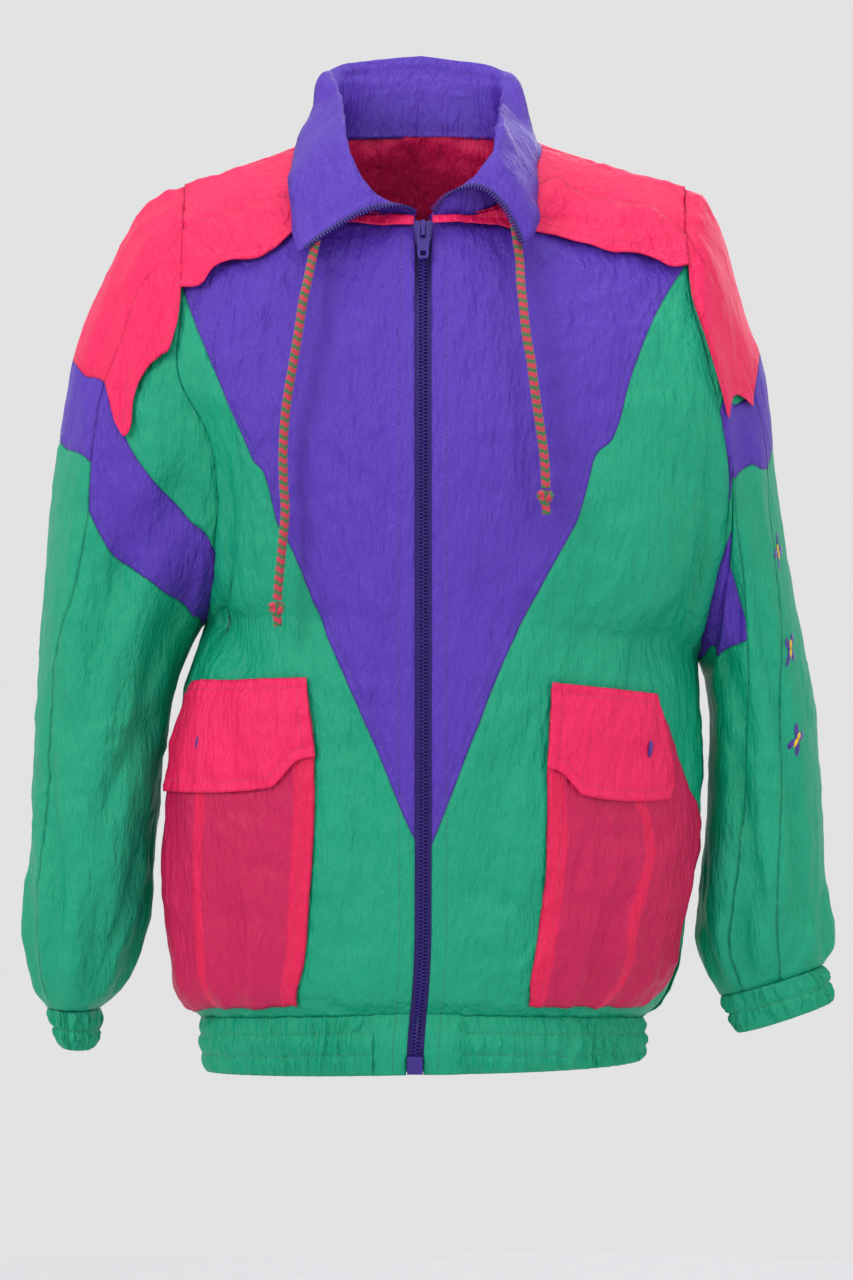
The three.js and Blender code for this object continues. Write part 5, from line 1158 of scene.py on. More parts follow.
# %% Back panels
def on_back(rows, lift=lambda u, w: 0 * u, place=None):
    """Both back quarters side by side, u from the left armhole to the right one."""
    def at(u, w):
        p, is_left = np.abs(1 - 2 * u), u <= 0.5
        halves = []
        for side in SIDES:
            if place:
                halves.append(body(side, *place(side, p, w), lift(u, w)))
            else:
                low, high = rows[0](side, p[:, 0])[:, None], rows[1](side, p[:, 0])[:, None]
                halves.append(body(side, p, mix(low, high, w), lift(u, w)))
        return tuple(np.where(is_left[..., None], left, right) for left, right in zip(*halves))

    return at


def yoke_place(side, p, w):
    q = 1 - p
    top_p = np.maximum(0, 1 - q / SHOULDER_SHARE)
    top_k = 1 + (1 - NAPE_H) * np.clip((q - SHOULDER_SHARE) / (1 - SHOULDER_SHARE), 0, 1)
    return mix(top_p, p, w), mix(top_k, back_attach(side, p), w)


def back_flap_lift(u, w):
    return mix(FLAP_LIFT, LAYER_GAP, w) + CLOTH + loose(u, w, 3)


cloth("back_lower", on_back((lambda side, p: 0 * p + 2, back_v_k)), "green", seams=("w0", "w1"))
cloth("back_upper", on_back((back_v_k, back_attach)), "purple", rows=[("w0", SEAM_ROW)], trim=2)
cloth("back_yoke", on_back(None, place=yoke_place), "pink", hangs_from=("collar",))
cloth("back_flap", on_back((back_edge, back_attach), back_flap_lift), "pink", seams=("w1",),
      rows=[("w0", FLAP_ROW)], trim=3)

# %% [markdown]
# ## Sleeve panels
# Each sleeve has a pink shoulder cap, a slanting purple band and a long green part, with a green
# gusset and a pink flap where it meets the body. The seams are lines of ring and angle. On the right
# of the view a fold of the sleeve hides part of the band, so that sleeve has two more panels.

# %% Sleeve seams
BACK_SEAM_ANGLE = 55.5
GUSSET_TIP, GUSSET_END = 0.255, 0.25
RIGHT_FOLD_ANGLE, BAND_TIP_ANGLE, FOLD_TIP_ANGLE = 96, 133.5, 148.5
SLEEVE_FLAP_GAP = 0.7
FIRST_ANGLE = {-1: 50, 1: 45}

LONG_SEAM = {
    -1: table("t front", [
      [0, 50], [0.255, 55.5], [0.36, 62], [0.45, 66], [0.55, 62], [0.65, 48], [0.8, 42], [1, 48],
    ]),
    1: table("t front", [[0, 45], [0.255, 45], [0.38, 46], [0.5, 53], [0.6, 67], [0.78, 76], [1, 84]]),
}

PLAIN_LINES = {
    "flap": table("t attach edge", [
      [0, 30, 68], [0.013, 32.5, 76], [0.05, 40, 76], [0.11, 45, 75], [0.14, 49, 74.5], [0.17, 53, 76],
      [0.197, 54.5, 80], [0.237, 55.5, 77.5], [0.255, 55.5, 70],
    ]),
    "bandTop": table("t around", [
      [0, 150], [0.03, 146], [0.075, 138], [0.123, 126.5], [0.16, 111], [0.193, 95.5], [0.237, 74],
      [0.255, 55.5],
    ]),
    "bandBottom": table("t around", [
      [0.02, 180], [0.08, 168], [0.157, 157], [0.24, 133.5], [0.29, 120], [0.36, 105], [0.413, 89.5],
      [0.428, 76], [0.434, 55],
    ]),
}

RIGHT_FRONT_LINES = {
    "flap": table("t attach edge", [
      [0, 30, 64], [0.012, 34, 80], [0.03, 38, 93], [0.055, 41, 99], [0.08, 41, 95], [0.12, 41, 80],
      [0.16, 42, 66], [0.2, 43, 58], [0.255, 45, 52],
    ]),
    "bandTop": table("t around", [
      [0, 105], [0.03, 99], [0.07, 90], [0.12, 78], [0.18, 64], [0.23, 51], [0.255, 45],
    ]),
    "bandBottom": table("t around", [
      [0, 135], [0.06, 121], [0.123, 106.5], [0.2, 86], [0.273, 70], [0.32, 58], [0.355, 45],
    ]),
}

RIGHT_UNDER_TOP = table("t around", [
    [0, 150], [0.03, 143], [0.09, 133], [0.18, 120], [0.267, 109], [0.36, 103], [0.44, 96],
])

RIGHT_UNDER_BOTTOM = table("t around", [
    [0.012, 180], [0.12, 165], [0.23, 150], [0.32, 133.5], [0.4, 116], [0.445, 101], [0.455, 94],
])

CAP_END = {
    -1: table("share t", [[0, 0.255], [0.4, 0.31], [1, 0.335]]),
    1: table("share t", [[0, 0.255], [0.4, 0.264], [1, 0.27]]),
}

BAND_END = {
    -1: table("share t", [[0, 0.366], [0.5, 0.42], [1, 0.447]]),
    1: table("share t", [[0, 0.355], [0.5, 0.37], [1, 0.38]]),
}


def front_seam(side, t):
    return read(LONG_SEAM[side], "t", "front", t)


def under_angle(side, u, t):
    return mix(front_seam(side, t), 360 - BACK_SEAM_ANGLE, u)


def outer_angle(side, u, t):
    return mix(-BACK_SEAM_ANGLE, front_seam(side, t), u)


def under_u(side, angle):
    return (angle - FIRST_ANGLE[side]) / (360 - BACK_SEAM_ANGLE - FIRST_ANGLE[side])


def column_cross(side, u, line):
    """Ring at which column u of the under part meets a line whose angle falls as the ring grows."""
    def below(t):
        around = under_angle(side, u, t)
        return read(line, "t", "around", t) > np.where(around > 180, 360 - around, around)

    return bisect(below, line["t"][0] + 0 * u, line["t"][-1])


# %% Sleeves
def build_sleeve(side):
    name = SIDE_NAME[side]

    def lines_of(is_front):
        return RIGHT_FRONT_LINES if side == 1 and is_front else PLAIN_LINES

    def attach(is_front, t):
        high = read(lines_of(is_front)["flap"], "t", "attach", np.minimum(t, GUSSET_TIP))
        return np.where(t < GUSSET_TIP, high, front_seam(side, t) if is_front else BACK_SEAM_ANGLE)

    def by_half(front_line, back_line):
        def at(u):
            is_front = under_angle(side, u, 0 * u) <= 180
            return np.where(is_front, column_cross(side, u, front_line), column_cross(side, u, back_line))
        return at

    front_lines, back_lines = lines_of(True), lines_of(False)
    top_of = by_half(front_lines["bandTop"], back_lines["bandTop"])
    bottom_of = by_half(front_lines["bandBottom"], back_lines["bandBottom"])

    def share(u):
        return 1 - np.abs(2 * u - 1)

    def cap_end(u):
        return read(CAP_END[side], "share", "t", share(u))

    def band_end(u):
        return read(BAND_END[side], "share", "t", share(u))

    def cap(u, w):
        t = cap_end(u) * w
        return sleeve(side, t, mix(-attach(False, t), attach(True, t), u))

    def outer(low, high):
        def at(u, w):
            t = mix(low(u), high(u), w)
            return sleeve(side, t, outer_angle(side, u, t))
        return at

    def under(low, high, start=0.0, end=1.0):
        rows = between(low, high)

        def at(u, w):
            u = mix(start, end, u)
            t = rows(u, w)
            return sleeve(side, t, under_angle(side, u, t))
        return at

    def to_end(u):
        return 0 * u + 1

    shared = {"hangs_from": (f"front_yoke_{name}",)}
    seam_row = {"rows": [("w1", SEAM_ROW)], "trim": 2, **shared}
    long_part = {"seams": ("u0", "u1", "w0"), **shared}
    cloth(f"sleeve_cap_{name}", cap, "pink", **seam_row)
    cloth(f"sleeve_band_{name}", outer(cap_end, band_end), "purple", **seam_row)
    cloth(f"sleeve_outer_{name}", outer(band_end, to_end), "green", **long_part)

    def gusset_and_flap(where, is_front, turn):
        lines = lines_of(is_front)

        def gusset(u, w):
            t = GUSSET_END * w
            around = mix(attach(is_front, t), read(lines["bandTop"], "t", "around", t), u)
            return sleeve(side, t, turn * around)

        def flap(u, w):
            t = GUSSET_TIP * w
            around = mix(attach(is_front, t), read(lines["flap"], "t", "edge", t), u)
            lift = mix(SLEEVE_FLAP_GAP, FLAP_LIFT, u) + CLOTH + loose(w, 1 - u, side + turn)
            return sleeve(side, t, turn * around, lift)

        cloth(f"sleeve_gusset_{where}_{name}", gusset, "green", seams=("u1", "w0"), **shared)
        cloth(f"sleeve_flap_{where}_{name}", flap, "pink", seams=(), rows=[("u1", FLAP_ROW)], trim=3,
              **shared)

    gusset_and_flap("front", True, 1)
    gusset_and_flap("back", False, -1)

    if side == -1:
        cloth(f"sleeve_under_band_{name}", under(top_of, bottom_of), "purple", **seam_row)
        cloth(f"sleeve_under_{name}", under(bottom_of, to_end), "green", **long_part)
        return
    tip_angles = RIGHT_FOLD_ANGLE, BAND_TIP_ANGLE, FOLD_TIP_ANGLE
    fold_u, band_tip, fold_tip = (under_u(side, angle) for angle in tip_angles)
    under_top = by_half(RIGHT_UNDER_TOP, back_lines["bandTop"])
    under_bottom = by_half(RIGHT_UNDER_BOTTOM, back_lines["bandBottom"])
    cloth(f"sleeve_front_band_{name}", under(top_of, bottom_of, 0, band_tip), "purple",
          seams=("u0", "w0", "w1"), **seam_row)
    cloth(f"sleeve_fold_{name}", under(bottom_of, under_top, fold_u, fold_tip), "green", **shared)
    cloth(f"sleeve_under_band_{name}", under(under_top, under_bottom, fold_u, 1), "purple",
          seams=("u1", "w0", "w1"), **seam_row)
    cloth(f"sleeve_under_front_{name}", under(bottom_of, to_end, 0, fold_u), "green", **long_part)
    cloth(f"sleeve_under_back_{name}", under(under_bottom, to_end, fold_u, 1), "green", **long_part)


for side in SIDES:
    build_sleeve(side)

# %% [markdown]
# ## Elastic cuffs and waistband
# Elastic draws the cloth into upright gathers, and the sewn rows between its channels pinch them, so
# each channel puffs out. The gathers are a wave round the band whose size falls to little at each
# sewn row, with a slow drift of its rhythm so that no two gathers are alike.

# %% Elastic bands
GATHER_DEPTH = 1.6
BAND_GATHERS, CUFF_GATHERS = 74, 18
BAND_GRID, CUFF_GRID = (1036, 20), (216, 16)
BAND_ROWS = (("w0", 15), ("w0", 31))
TAB_END_P, TAB_UNDER_P, TAB_GAP_P = 0.115, 0.02, 0.004
TUCK_IN, TUCK_UP = 1.2, 3.5
ELASTIC_FRONT_SHARE = 0.235

CUFF = {
    -1: table("v ox oz ix iz depth", [
      [0, 273, -625.6, 234, -626.6, 36], [0.5, 270, -639, 234, -643, 35], [1, 264, -654, 238, -656, 33],
    ]),
    1: table("v ox oz ix iz depth", [
      [0, 294, -594.6, 218, -617.6, 29], [0.5, 299, -607, 223, -631, 29], [1, 302, -621, 230, -645, 28],
    ]),
}

BAND = table("v frontY frontZ backY backZ", [
    [0, -114, -621.6, 113, -621.6], [0.5, -116, -643, 115, -643], [1, -112, -664.5, 111, -664.5],
])

BAND_SIDE = {
    -1: table("v x z", [[0, 161, -633.6], [0.5, 162, -652], [1, 158, -672.5]]),
    1: table("v x z", [[0, 162, -633.6], [0.5, 164, -649], [1, 162, -663.5]]),
}


def gathers(around, v, count, channels, seed):
    """How far gathered cloth stands out, by the share round the band and the share down it."""
    places = pack(around * 60, v * 3, 0 * v + seed * 10)
    drift = 0.55 * wave_field(places, (3, 9, 3), 31) + 0.22 * wave_field(places, (0.9, 0.8, 3), 32)
    wave = np.cos(2 * np.pi * (count * around + drift))
    small = np.cos(2 * np.pi * (2.3 * count * around + 2 * drift + 0.4 * v * channels))
    puff = np.abs(np.sin(np.pi * channels * v)) ** 0.6
    depth = 1 + 0.35 * wave_field(places, (1.4, 3, 3), 33)
    ridge = 1 - 2 * np.sqrt(np.abs(0.5 - 0.5 * wave))
    return (0.4 + 0.6 * puff) * (GATHER_DEPTH * ridge * depth + 0.4 * small) + 1.5 * puff - 1.6


def build_cuff(side):
    rows = CUFF[side]

    def at(u, w):
        outer = pack(side * read(rows, "v", "ox", w), 1, read(rows, "v", "oz", w))
        inner = pack(side * read(rows, "v", "ix", w), 1, read(rows, "v", "iz", w))
        middle, half = (outer + inner) / 2, (outer - inner) / 2
        long, deep, turn = np.linalg.norm(half, axis=-1), read(rows, "v", "depth", w), 2 * np.pi * u
        out = unit(unit(half) * (np.cos(turn) / long)[..., None] + pack(0, -np.sin(turn) / deep, 0))
        stand = gathers(u, w, CUFF_GATHERS, 2, side) * (0.4 + 0.6 * smooth(0, 0.15, w))
        points = middle + half * np.cos(turn)[..., None] + pack(0, -deep * np.sin(turn), 0)
        return points + out * stand[..., None], out

    node = f"cuff_{SIDE_NAME[side]}"
    cloth(node, at, "green", seams=("w0",), rows=BAND_ROWS[:1], trim=0, closed=True, counts=CUFF_GRID,
          held="gathered", hangs_from=(f"sleeve_outer_{SIDE_NAME[side]}",), fullness=1.0)


def band_point(side, p, v, is_front):
    y = np.where(is_front, read(BAND, "v", "frontY", v), read(BAND, "v", "backY", v))
    z = np.where(is_front, read(BAND, "v", "frontZ", v), read(BAND, "v", "backZ", v))
    rows = BAND_SIDE[side]
    start, end = pack(0, y, z), pack(side * read(rows, "v", "x", v), 2, read(rows, "v", "z", v))
    d = end - start
    start_way = pack(QUARTER_ROUND * d[..., 0], 0, d[..., 2])
    end_way = pack(0, QUARTER_ROUND * d[..., 1], d[..., 2])
    points = hermite(start, end, start_way, end_way, p)
    points[..., 0] += read(ZIP_DRIFT, "z", "x", points[..., 2]) * (1 - smooth(0, 0.5, p)) * is_front
    return points


def band_place(side, p, v, is_front):
    p, v, is_front = np.broadcast_arrays(np.asarray(p, float), np.asarray(v, float), is_front)
    ahead, behind = np.minimum(1, p + 0.01), np.maximum(0, p - 0.01)
    way = band_point(side, ahead, v, is_front) - band_point(side, behind, v, is_front)
    turn = side * np.where(is_front, 1, -1)
    return band_point(side, p, v, is_front), unit(pack(way[..., 1] * turn, -way[..., 0] * turn, 0))


def around_band(s, v):
    """Point and direction at the share s round the elastic, from the left tab round the back."""
    front = ELASTIC_FRONT_SHARE
    left = s < 0.5
    from_left = np.where(left, s, 1 - s)
    is_front = from_left < front
    on_front = mix(TAB_END_P + TAB_GAP_P, 1, from_left / front)
    p = np.where(is_front, on_front, 1 - (from_left - front) / (0.5 - front))
    halves = [band_place(side, p, v, is_front) for side in SIDES]
    return tuple(np.where(left[..., None], a, b) for a, b in zip(*halves))


def tucked(points, out, stand, w):
    """Cloth that stands off a band, its top edge tucked up under the body."""
    tuck = 1 - smooth(0, 0.08, w)
    return points + out * (stand - TUCK_IN * tuck)[..., None] + pack(0, 0, TUCK_UP * tuck), out


def elastic(u, w):
    stand = gathers(u, w, BAND_GATHERS, 3, 5) * (0.35 + 0.65 * smooth(0, 0.12, w))
    return tucked(*around_band(u, w), stand, w)


def tab(side):
    def at(u, w):
        first = PLACKET_HALF / (QUARTER_ROUND * BAND_SIDE[-1]["x"][0])
        points, out = band_place(side, mix(first, TAB_END_P + TAB_UNDER_P, u), w, True)
        soft = 0.5 * wave_field(points, (9, 9, 12), 41) * smooth(0.0, 0.3, u)
        # Its far end dips under the elastic
        return tucked(points, out, soft - 1.6 * smooth(0.82, 0.9, u), w)

    cloth(f"waistband_tab_{SIDE_NAME[side]}", at, "green", seams=("w0",), rows=[PLACKET_ROW], trim=1,
          step=FINE_STEP, hangs_from=(f"front_side_{SIDE_NAME[side]}",))


for side in SIDES:
    build_cuff(side)
    tab(side)
cloth("waistband_elastic", elastic, "green", seams=("w0",), counts=BAND_GRID, held="gathered",
      rows=BAND_ROWS, trim=2, hangs_from=("back_lower",), fullness=1.0)

# %% [markdown]
# ## The collar
# The stand collar is open and its front ends fall outwards in two leaves. It is one band from the left
# leaf round the neck to the right one, on a parabola through its foot, its roll and its free edge. The
# casing of the drawcord is the channel between two sewn rows near the free edge.

# %% Collar
COLLAR_START = -0.03
CASING_START, CASING_WIDE = 0.62, 0.26
CASING_ROWS = (("w1", 7), ("w1", 28))


def collar(u, w):
    around = 180 * (1 - np.abs(2 * u - 1))
    w = mix(COLLAR_START, 1, w)
    halves = [(collar_point(side, around, w), collar_out(side, around, w)) for side in SIDES]
    points, out = (np.where((u < 0.5)[..., None], left, right) for left, right in zip(*halves))
    soft = 0.75 * crinkle(points) * smooth(0.0, 0.12, w) * smooth(0, 10, around)
    casing = 0.9 * np.sin(np.pi * np.clip((w - CASING_START) / CASING_WIDE, 0, 1)) ** 0.8
    upright = pack(u * 130, 0 * u, w * 14 + 6 * np.sin(u * 20))
    pulled = 1.5 * wave_field(upright, (3.6, 3, 9), 61) * smooth(0.05, 0.3, w)
    stand = (0.8 * soft + casing + 0.55 * pulled) * smooth(3, 16, around)
    return points + out * stand[..., None], out


cloth("collar", collar, "purple", seams=("w0",), rows=CASING_ROWS, trim=4, held="folded")

# %% [markdown]
# ## Patch pockets
# A pocket is a crimson bag that puffs a little off the jacket, under a vivid pink flap with cut
# corners that is closed by a small upright button. The bag's colour carries a painted highlight: it is
# lighter along its inner edge and over a strip down the middle of its puff.

# %% Pockets
POCKET = {
    -1: {
      "bag": table("k inner outer", [
          [0.014, 0.34, 0.93], [0.06, 0.3, 0.955], [0.2, 0.265, 0.965], [0.31, 0.268, 0.93],
          [0.392, 0.3, 0.8],
      ]),
      "flap": table("s inner outer low", [
          [0, 0.262, 0.925, 0.305], [0.07, 0.262, 0.925, 0.3], [0.18, 0.262, 0.925, 0.27],
          [1, 0.262, 0.925, 0.268],
      ]),
      "top": 0.397,
      "strip": (0.52, 0.52),
    },
    1: {
      "bag": table("k inner outer", [
          [0.016, 0.29, 0.75], [0.05, 0.272, 0.88], [0.12, 0.281, 0.83], [0.215, 0.285, 0.925],
          [0.3, 0.28, 0.76], [0.395, 0.292, 0.61],
      ]),
      "flap": table("s inner outer low", [
          [0, 0.277, 0.68, 0.3], [0.1, 0.277, 0.68, 0.294], [0.24, 0.277, 0.68, 0.27],
          [0.9, 0.277, 0.68, 0.274], [1, 0.277, 0.68, 0.292],
      ]),
      "top": 0.402,
      "strip": (0.50, 0.46),
    },
}


EDGE_STRIP, STRIP_HALF = 0.085, 0.03
POCKET_FLAP_ROWS = (("w1", 7), ("w0", 8), ("u0", 8), ("u1", 8))


def build_pocket(side):
    name = SIDE_NAME[side]
    rows, flap_rows, top = POCKET[side]["bag"], POCKET[side]["flap"], POCKET[side]["top"]
    low_k = rows["k"][0]

    def bag(u, w):
        k = mix(low_k, top - 0.006, w)
        p = mix(read(rows, "k", "inner", k), read(rows, "k", "outer", k), u)
        puff = 3.2 * np.sin(np.pi * np.clip(u, 0, 1)) * np.sin(np.pi * np.clip(w * 0.9 + 0.05, 0, 1))
        slack = 0.8 * wave_field(pack(u * 110, 0 * u, w * 150), (6, 6, 26), 51) * (1 - smooth(0.1, 0.5, w))
        return body(side, p, k, LAYER_GAP + CLOTH + puff + slack * np.sin(np.pi * u))

    # Painted highlight: strips along the bag's inner edge and down the middle of its puff
    def highlight_strips(u, w):
        strip = mix(*POCKET[side]["strip"], w)
        return np.maximum((u < EDGE_STRIP) * 1.0, (np.abs(u - strip) < STRIP_HALF) * 1.0)

    cloth(f"pocket_bag_{name}", bag, "crimson", shade=highlight_strips, step=FINE_STEP,
          hangs_from=(f"front_side_{name}",))
    inner, outer = (read(rows, "k", column, top - 0.007) for column in ("inner", "outer"))

    def flap(u, w):
        k = mix(read(flap_rows, "s", "low", u), top, w)
        p = mix(mix(flap_rows["inner"][0], inner, w), mix(flap_rows["outer"][0], outer, w), u)
        swell = 3.6 * np.sin(np.pi * np.clip(mix(0.03, 0.97, u), 0, 1)) * (1 - 0.75 * w)
        return body(side, p, k, LAYER_GAP + 2 * CLOTH + 0.9 + swell)

    cloth(f"pocket_flap_{name}", flap, "pink", seams=("w1",), step=FINE_STEP,
          rows=POCKET_FLAP_ROWS, trim=8, hangs_from=(f"pocket_bag_{name}",))
    sew_rows("crimson", f"pocket_bag_{name}", [("u0", 9.5)], 2)


for side in SIDES:
    build_pocket(side)

# %% [markdown]
# ## The zip
# The zip is moulded plastic teeth on two woven tapes. Teeth of the two sides take turns, so one mesh
# of small bevelled blocks, half a pitch apart, reads as a closed chain. The same block runs up both
# front edges of the collar, where the zip is open.

# %% Zip frames
ZIP_BOTTOM_Z, ZIP_TOP_Z, SLIDER_BOTTOM_Z = -664, -73, -77.5
TOOTH_PITCH = 2.5
TOOTH_TURN, TOOTH_SIZE, FIRST_TOOTH = 0.95, (3.9, 1.05, 2.8), 12.7
OPEN_TOOTH_SIZE, OPEN_TAPE_SIZE = (3.6, 1.25, 2.6), (2.4, TOOTH_PITCH * 1.06, 1.2)
BEVEL_START, BEVEL_CUT = 0.4, 0.62
TAPE_CENTRE, TAPE_WIDTH, TAPE_DIP, TAPE_DROP = 5.3, 9.1, 2.2, 0.8


def zip_frames(z):
    y = read(FRONT_LINE, "z", "y", z)
    slope = (read(FRONT_LINE, "z", "y", z + 1) - read(FRONT_LINE, "z", "y", z - 1)) / 2
    out = unit(pack(0, -1, slope))
    across = pack(1, 0, 0 * z)
    return pack(read(ZIP_DRIFT, "z", "x", z), y, z), across, out, np.cross(across, out)


def blocks(centres, across, out, along, size):
    """Small blocks with their four front edges cut back, one at each centre."""
    wide, tall, deep = (measure / 2 for measure in size)
    square = [(-1, -1), (1, -1), (1, 1), (-1, 1)]
    levels = [(-1, 1), (BEVEL_START, 1), (1, BEVEL_CUT)]
    points = np.stack([centres + across * wide * x * cut + along * tall * z * cut + out * deep * y
                       for y, cut in levels for x, z in square], 1)
    sides = [[a + i, a + (i + 1) % 4, a + 4 + (i + 1) % 4, a + 4 + i] for a in (0, 4) for i in range(4)]
    faces = np.array([[3, 2, 1, 0], [8, 9, 10, 11], *sides])
    return points.reshape(-1, 3), (np.arange(len(centres))[:, None, None] * 12 + faces).reshape(-1, 4)


def flat_sides(made):
    made.data.shade_flat()
    return made


# %% Closed chain and tapes
z = np.arange(ZIP_BOTTOM_Z + FIRST_TOOTH, SLIDER_BOTTOM_Z + 0.5, TOOTH_PITCH / 2)
point, across, out, along = zip_frames(z)
turn = np.where(np.arange(len(z)) % 2, 1.0, -1.0)[:, None]
points, faces = blocks(point + across * turn * TOOTH_TURN - out * 1.0, across, out, along, TOOTH_SIZE)
chain = mesh_object("zip_teeth", points, faces)
finish_piece(flat_sides(chain), ZIP_PLASTIC, "zip_plastic", replaces=["zip_chain"])
print("closed teeth:", len(z))


def tape(node, centre, across, out):
    """A flat woven tape along a line of frames."""
    def at(u, w):
        index = w * (len(centre) - 1)
        a = np.clip(np.floor(index).astype(int), 0, len(centre) - 2)
        share = (index - a)[..., None]
        place, way, up = (mix(rows[a], rows[a + 1], share) for rows in (centre, across, out))
        return place + way * ((u - 0.5) * TAPE_WIDTH)[..., None] + up * (-CLOTH - TAPE_DROP), up

    return cloth(node, at, "zip_tape", seams=(), counts=(4, len(centre) - 1), declared=False)


z = np.linspace(ZIP_BOTTOM_Z + 1, ZIP_TOP_Z, 180)
point, across, out, along = zip_frames(z)
dipped = point - out * (TAPE_DIP * smooth(-125, -95, point[:, 2]))[:, None]
for side in SIDES:
    tape(f"zip_tape_{SIDE_NAME[side]}", dipped + across * side * TAPE_CENTRE, across, out)

# %% Open teeth up the collar
for side in SIDES:
    v = np.linspace(0.03, 0.97, 400)
    edge = collar_point(side, 0, v)
    run = run_along(edge)
    v = np.interp(np.arange(0, run[-1], TOOTH_PITCH), run, v)
    centre = collar_point(side, 0, v)
    above, below = np.minimum(1, v + 0.01), np.maximum(0, v - 0.01)
    along = unit(collar_point(side, 0, above) - collar_point(side, 0, below))
    across = centre - collar_point(side, 12, v)
    across = unit(across - along * (across * along).sum(-1, keepdims=True))
    out = collar_out(side, 0 * v, v)
    frame_ways = across, out, along
    points, faces = blocks(centre + across * 1.1 - out * 0.7, *frame_ways, OPEN_TOOTH_SIZE)
    tape_points, tape_faces = blocks(centre - across * 0.7 - out * 0.5, *frame_ways, OPEN_TAPE_SIZE)
    row = mesh_object(f"zip_teeth_{SIDE_NAME[side]}", np.concatenate([points, tape_points]),
                      np.concatenate([faces, tape_faces + len(points)]))
    finish_piece(flat_sides(row), ZIP_PLASTIC, "zip_plastic", replaces=[f"zip_row_{SIDE_NAME[side]}"])
    print(f"open teeth {SIDE_NAME[side]}:", len(v))

# %% Materials on the hard CAD parts
hard_parts = {node: ZIP_PLASTIC for node in ("zip_slider", "zip_pull_tab", "zip_bottom_box")}
hard_parts.update({f"pocket_button_{name}": BUTTON_PLASTIC for name in SIDE_NAME.values()})
for node, material in hard_parts.items():
    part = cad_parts[node]
    part.data.materials.clear()
    part.data.materials.append(material)
print("hard parts:", ", ".join(hard_parts))

# %% [markdown]
# ## Embroidery on one sleeve
# Three small embroidered motifs run down one sleeve. They are plain pinwheels here, purple with a
# yellow middle, built as raised pads of thread on the sleeve's own surface.

# %% Pinwheels
MOTIF_RADIUS, MOTIF_RISE, PETALS = 12.0, 0.8, 4
MOTIFS = [(0.457, 41, 0.2), (0.557, 48, 0.8), (0.663, 53, 1.4)]
MIDDLE_SHARE, MIDDLE_RISE, MIDDLE_PETALS = 0.48, 0.7, 2
MOTIF_GRID = 12, 96
SLEEVE_LENGTH_MM, SLEEVE_DEGREE_MM = 620, 1.25


def motif_pad(name, t0, angle0, turn, radius, petals, rise, colour, slot):
    """A raised pad of thread with rounded petals, centred on a ring and angle of the sleeve."""
    rings, around = MOTIF_GRID
    shares, turns = np.linspace(0.02, 1, rings), np.linspace(0, 2 * np.pi, around, endpoint=False)
    r, a = np.meshgrid(shares, turns, indexing="ij")
    reach = radius * (0.62 + 0.38 * np.cos(petals * (a + turn) + 0.9 * r)) * r
    x, y = reach * np.cos(a), reach * np.sin(a)
    points, out = sleeve(1, t0 - y / SLEEVE_LENGTH_MM, angle0 - x / SLEEVE_DEGREE_MM)
    dome = rise * (1 - r**6) + 0.12 * np.cos(9 * a * petals)
    top, base = points + out * (0.15 + dome)[..., None], points - out * 0.4
    ring_count = rings * around
    i, j = np.meshgrid(np.arange(rings - 1), np.arange(around), indexing="ij")
    a0, a1 = i * around + j, i * around + (j + 1) % around
    quads = np.stack([a0, a1, a1 + around, a0 + around], -1).reshape(-1, 4)
    last = (rings - 1) * around + np.arange(around)
    wall = np.stack([last, np.roll(last, -1), np.roll(last, -1) + ring_count, last + ring_count], -1)
    hole = np.arange(around)
    faces = quads.tolist() + (quads[:, ::-1] + ring_count).tolist() + wall.tolist()
    faces += [hole[::-1].tolist(), (hole + ring_count).tolist()]
    made = mesh_object(name, np.concatenate([top.reshape(-1, 3), base.reshape(-1, 3)]), faces)
    return finish_piece(made, THREADS[colour], slot)


for number, (t, angle, turn) in enumerate(MOTIFS, 1):
    motif_pad(f"motif_wheel_{number}", t, angle, turn, MOTIF_RADIUS, PETALS, MOTIF_RISE,
              "purple", "nylon_purple")
    motif_pad(f"motif_middle_{number}", t, angle, turn + 0.8, MOTIF_RADIUS * MIDDLE_SHARE, MIDDLE_PETALS,
              MOTIF_RISE + MIDDLE_RISE, "yellow", "nylon_pink")

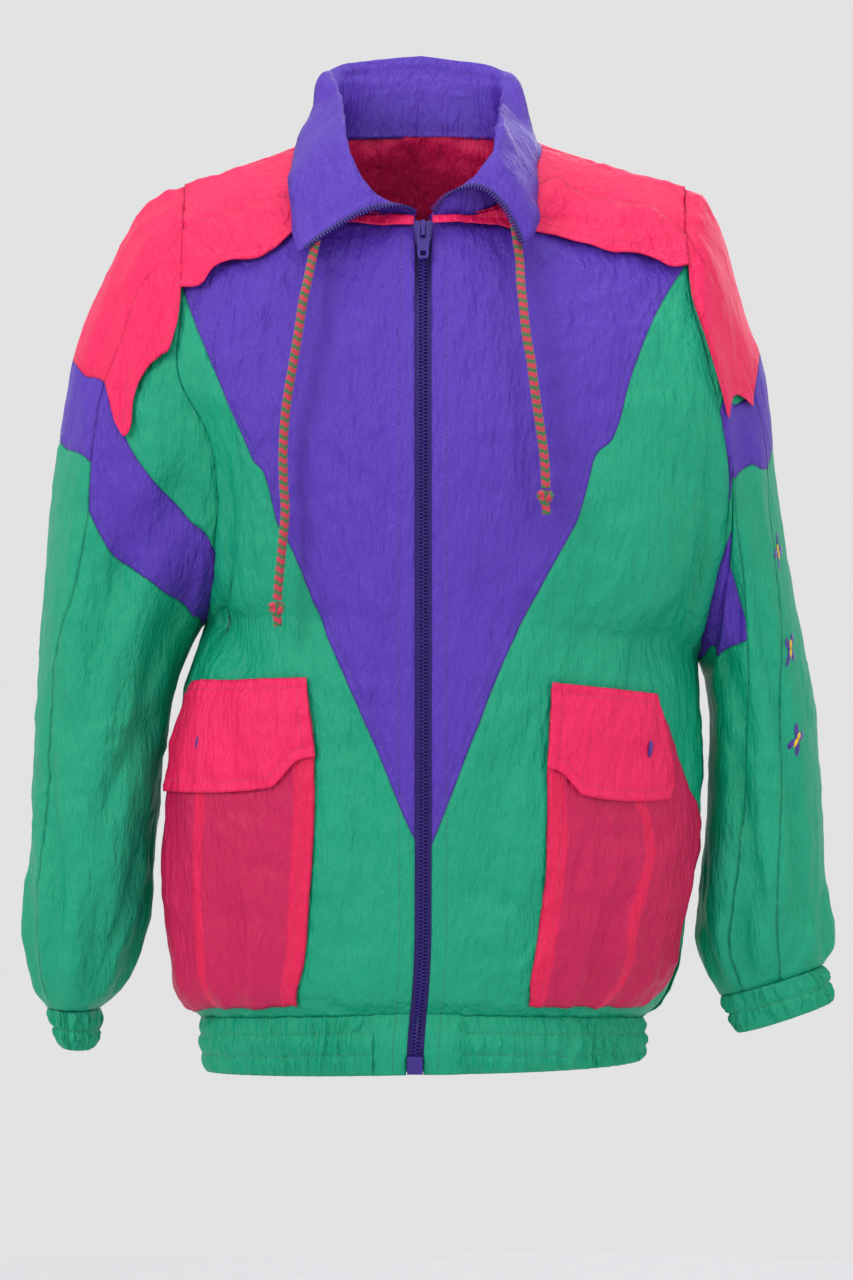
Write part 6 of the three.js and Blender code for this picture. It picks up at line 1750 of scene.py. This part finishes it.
# %% Thread meshes
for thread_colour in sorted(SEWN):
    thread_mesh(thread_colour)

# %% [markdown]
# ## Floor and light
# The studio is plain: a pale floor well below the hem and broad soft lights, two in front, one above
# and one behind for the edges. Broad lights keep the shadows open and let the nylon's crinkle show.

# %% Floor
FLOOR_Z, FLOOR_RADIUS = -1.0, 1.4


def plain_floor():
    turns = np.linspace(0, 2 * np.pi, 96, endpoint=False)
    mesh = bpy.data.meshes.new("studio_floor")
    rim_points = [(FLOOR_RADIUS * math.cos(a), FLOOR_RADIUS * math.sin(a), FLOOR_Z) for a in turns]
    mesh.from_pydata(rim_points, [], [list(range(len(turns)))])
    floor = bpy.data.objects.new("studio_floor", mesh)
    bpy.context.scene.collection.objects.link(floor)
    recipe = Recipe("studio_floor")
    speck = recipe.noise((30, 30, 30), 2)
    tone = recipe.blend(speck, dye(206, 206, 209), dye(214, 214, 216))
    floor.data.materials.append(recipe.surface(base_color=tone, roughness=0.9))


plain_floor()


# %% Lights
def soft_light(name, place, target, size, power):
    data = bpy.data.lights.new(name, "AREA")
    data.shape, data.size, data.size_y, data.energy = "RECTANGLE", size[0], size[1], power
    lamp = bpy.data.objects.new(name, data)
    lamp.location = place
    way = np.array(target) - np.array(place)
    lamp.rotation_euler = (math.atan2(math.hypot(way[0], way[1]), -way[2]), 0, math.atan2(-way[0], way[1]))
    bpy.context.scene.collection.objects.link(lamp)


MIDDLE = (0, 0, -0.33)
soft_light("key_left", (-1.9, -2.1, 0.85), MIDDLE, (1.1, 1.4), 30)
soft_light("fill_right", (2.1, -2.0, 0.35), MIDDLE, (1.2, 1.4), 11)
soft_light("top", (0.0, -0.3, 1.9), MIDDLE, (1.8, 1.4), 20)
soft_light("rim_back", (0.6, 2.3, 0.8), MIDDLE, (1.6, 1.2), 14)

world = bpy.data.worlds.new("pale_studio")
world.use_nodes = True
world.node_tree.nodes["Background"].inputs["Color"].default_value = dye(250, 250, 251)
world.node_tree.nodes["Background"].inputs["Strength"].default_value = 0.8
bpy.context.scene.world = world
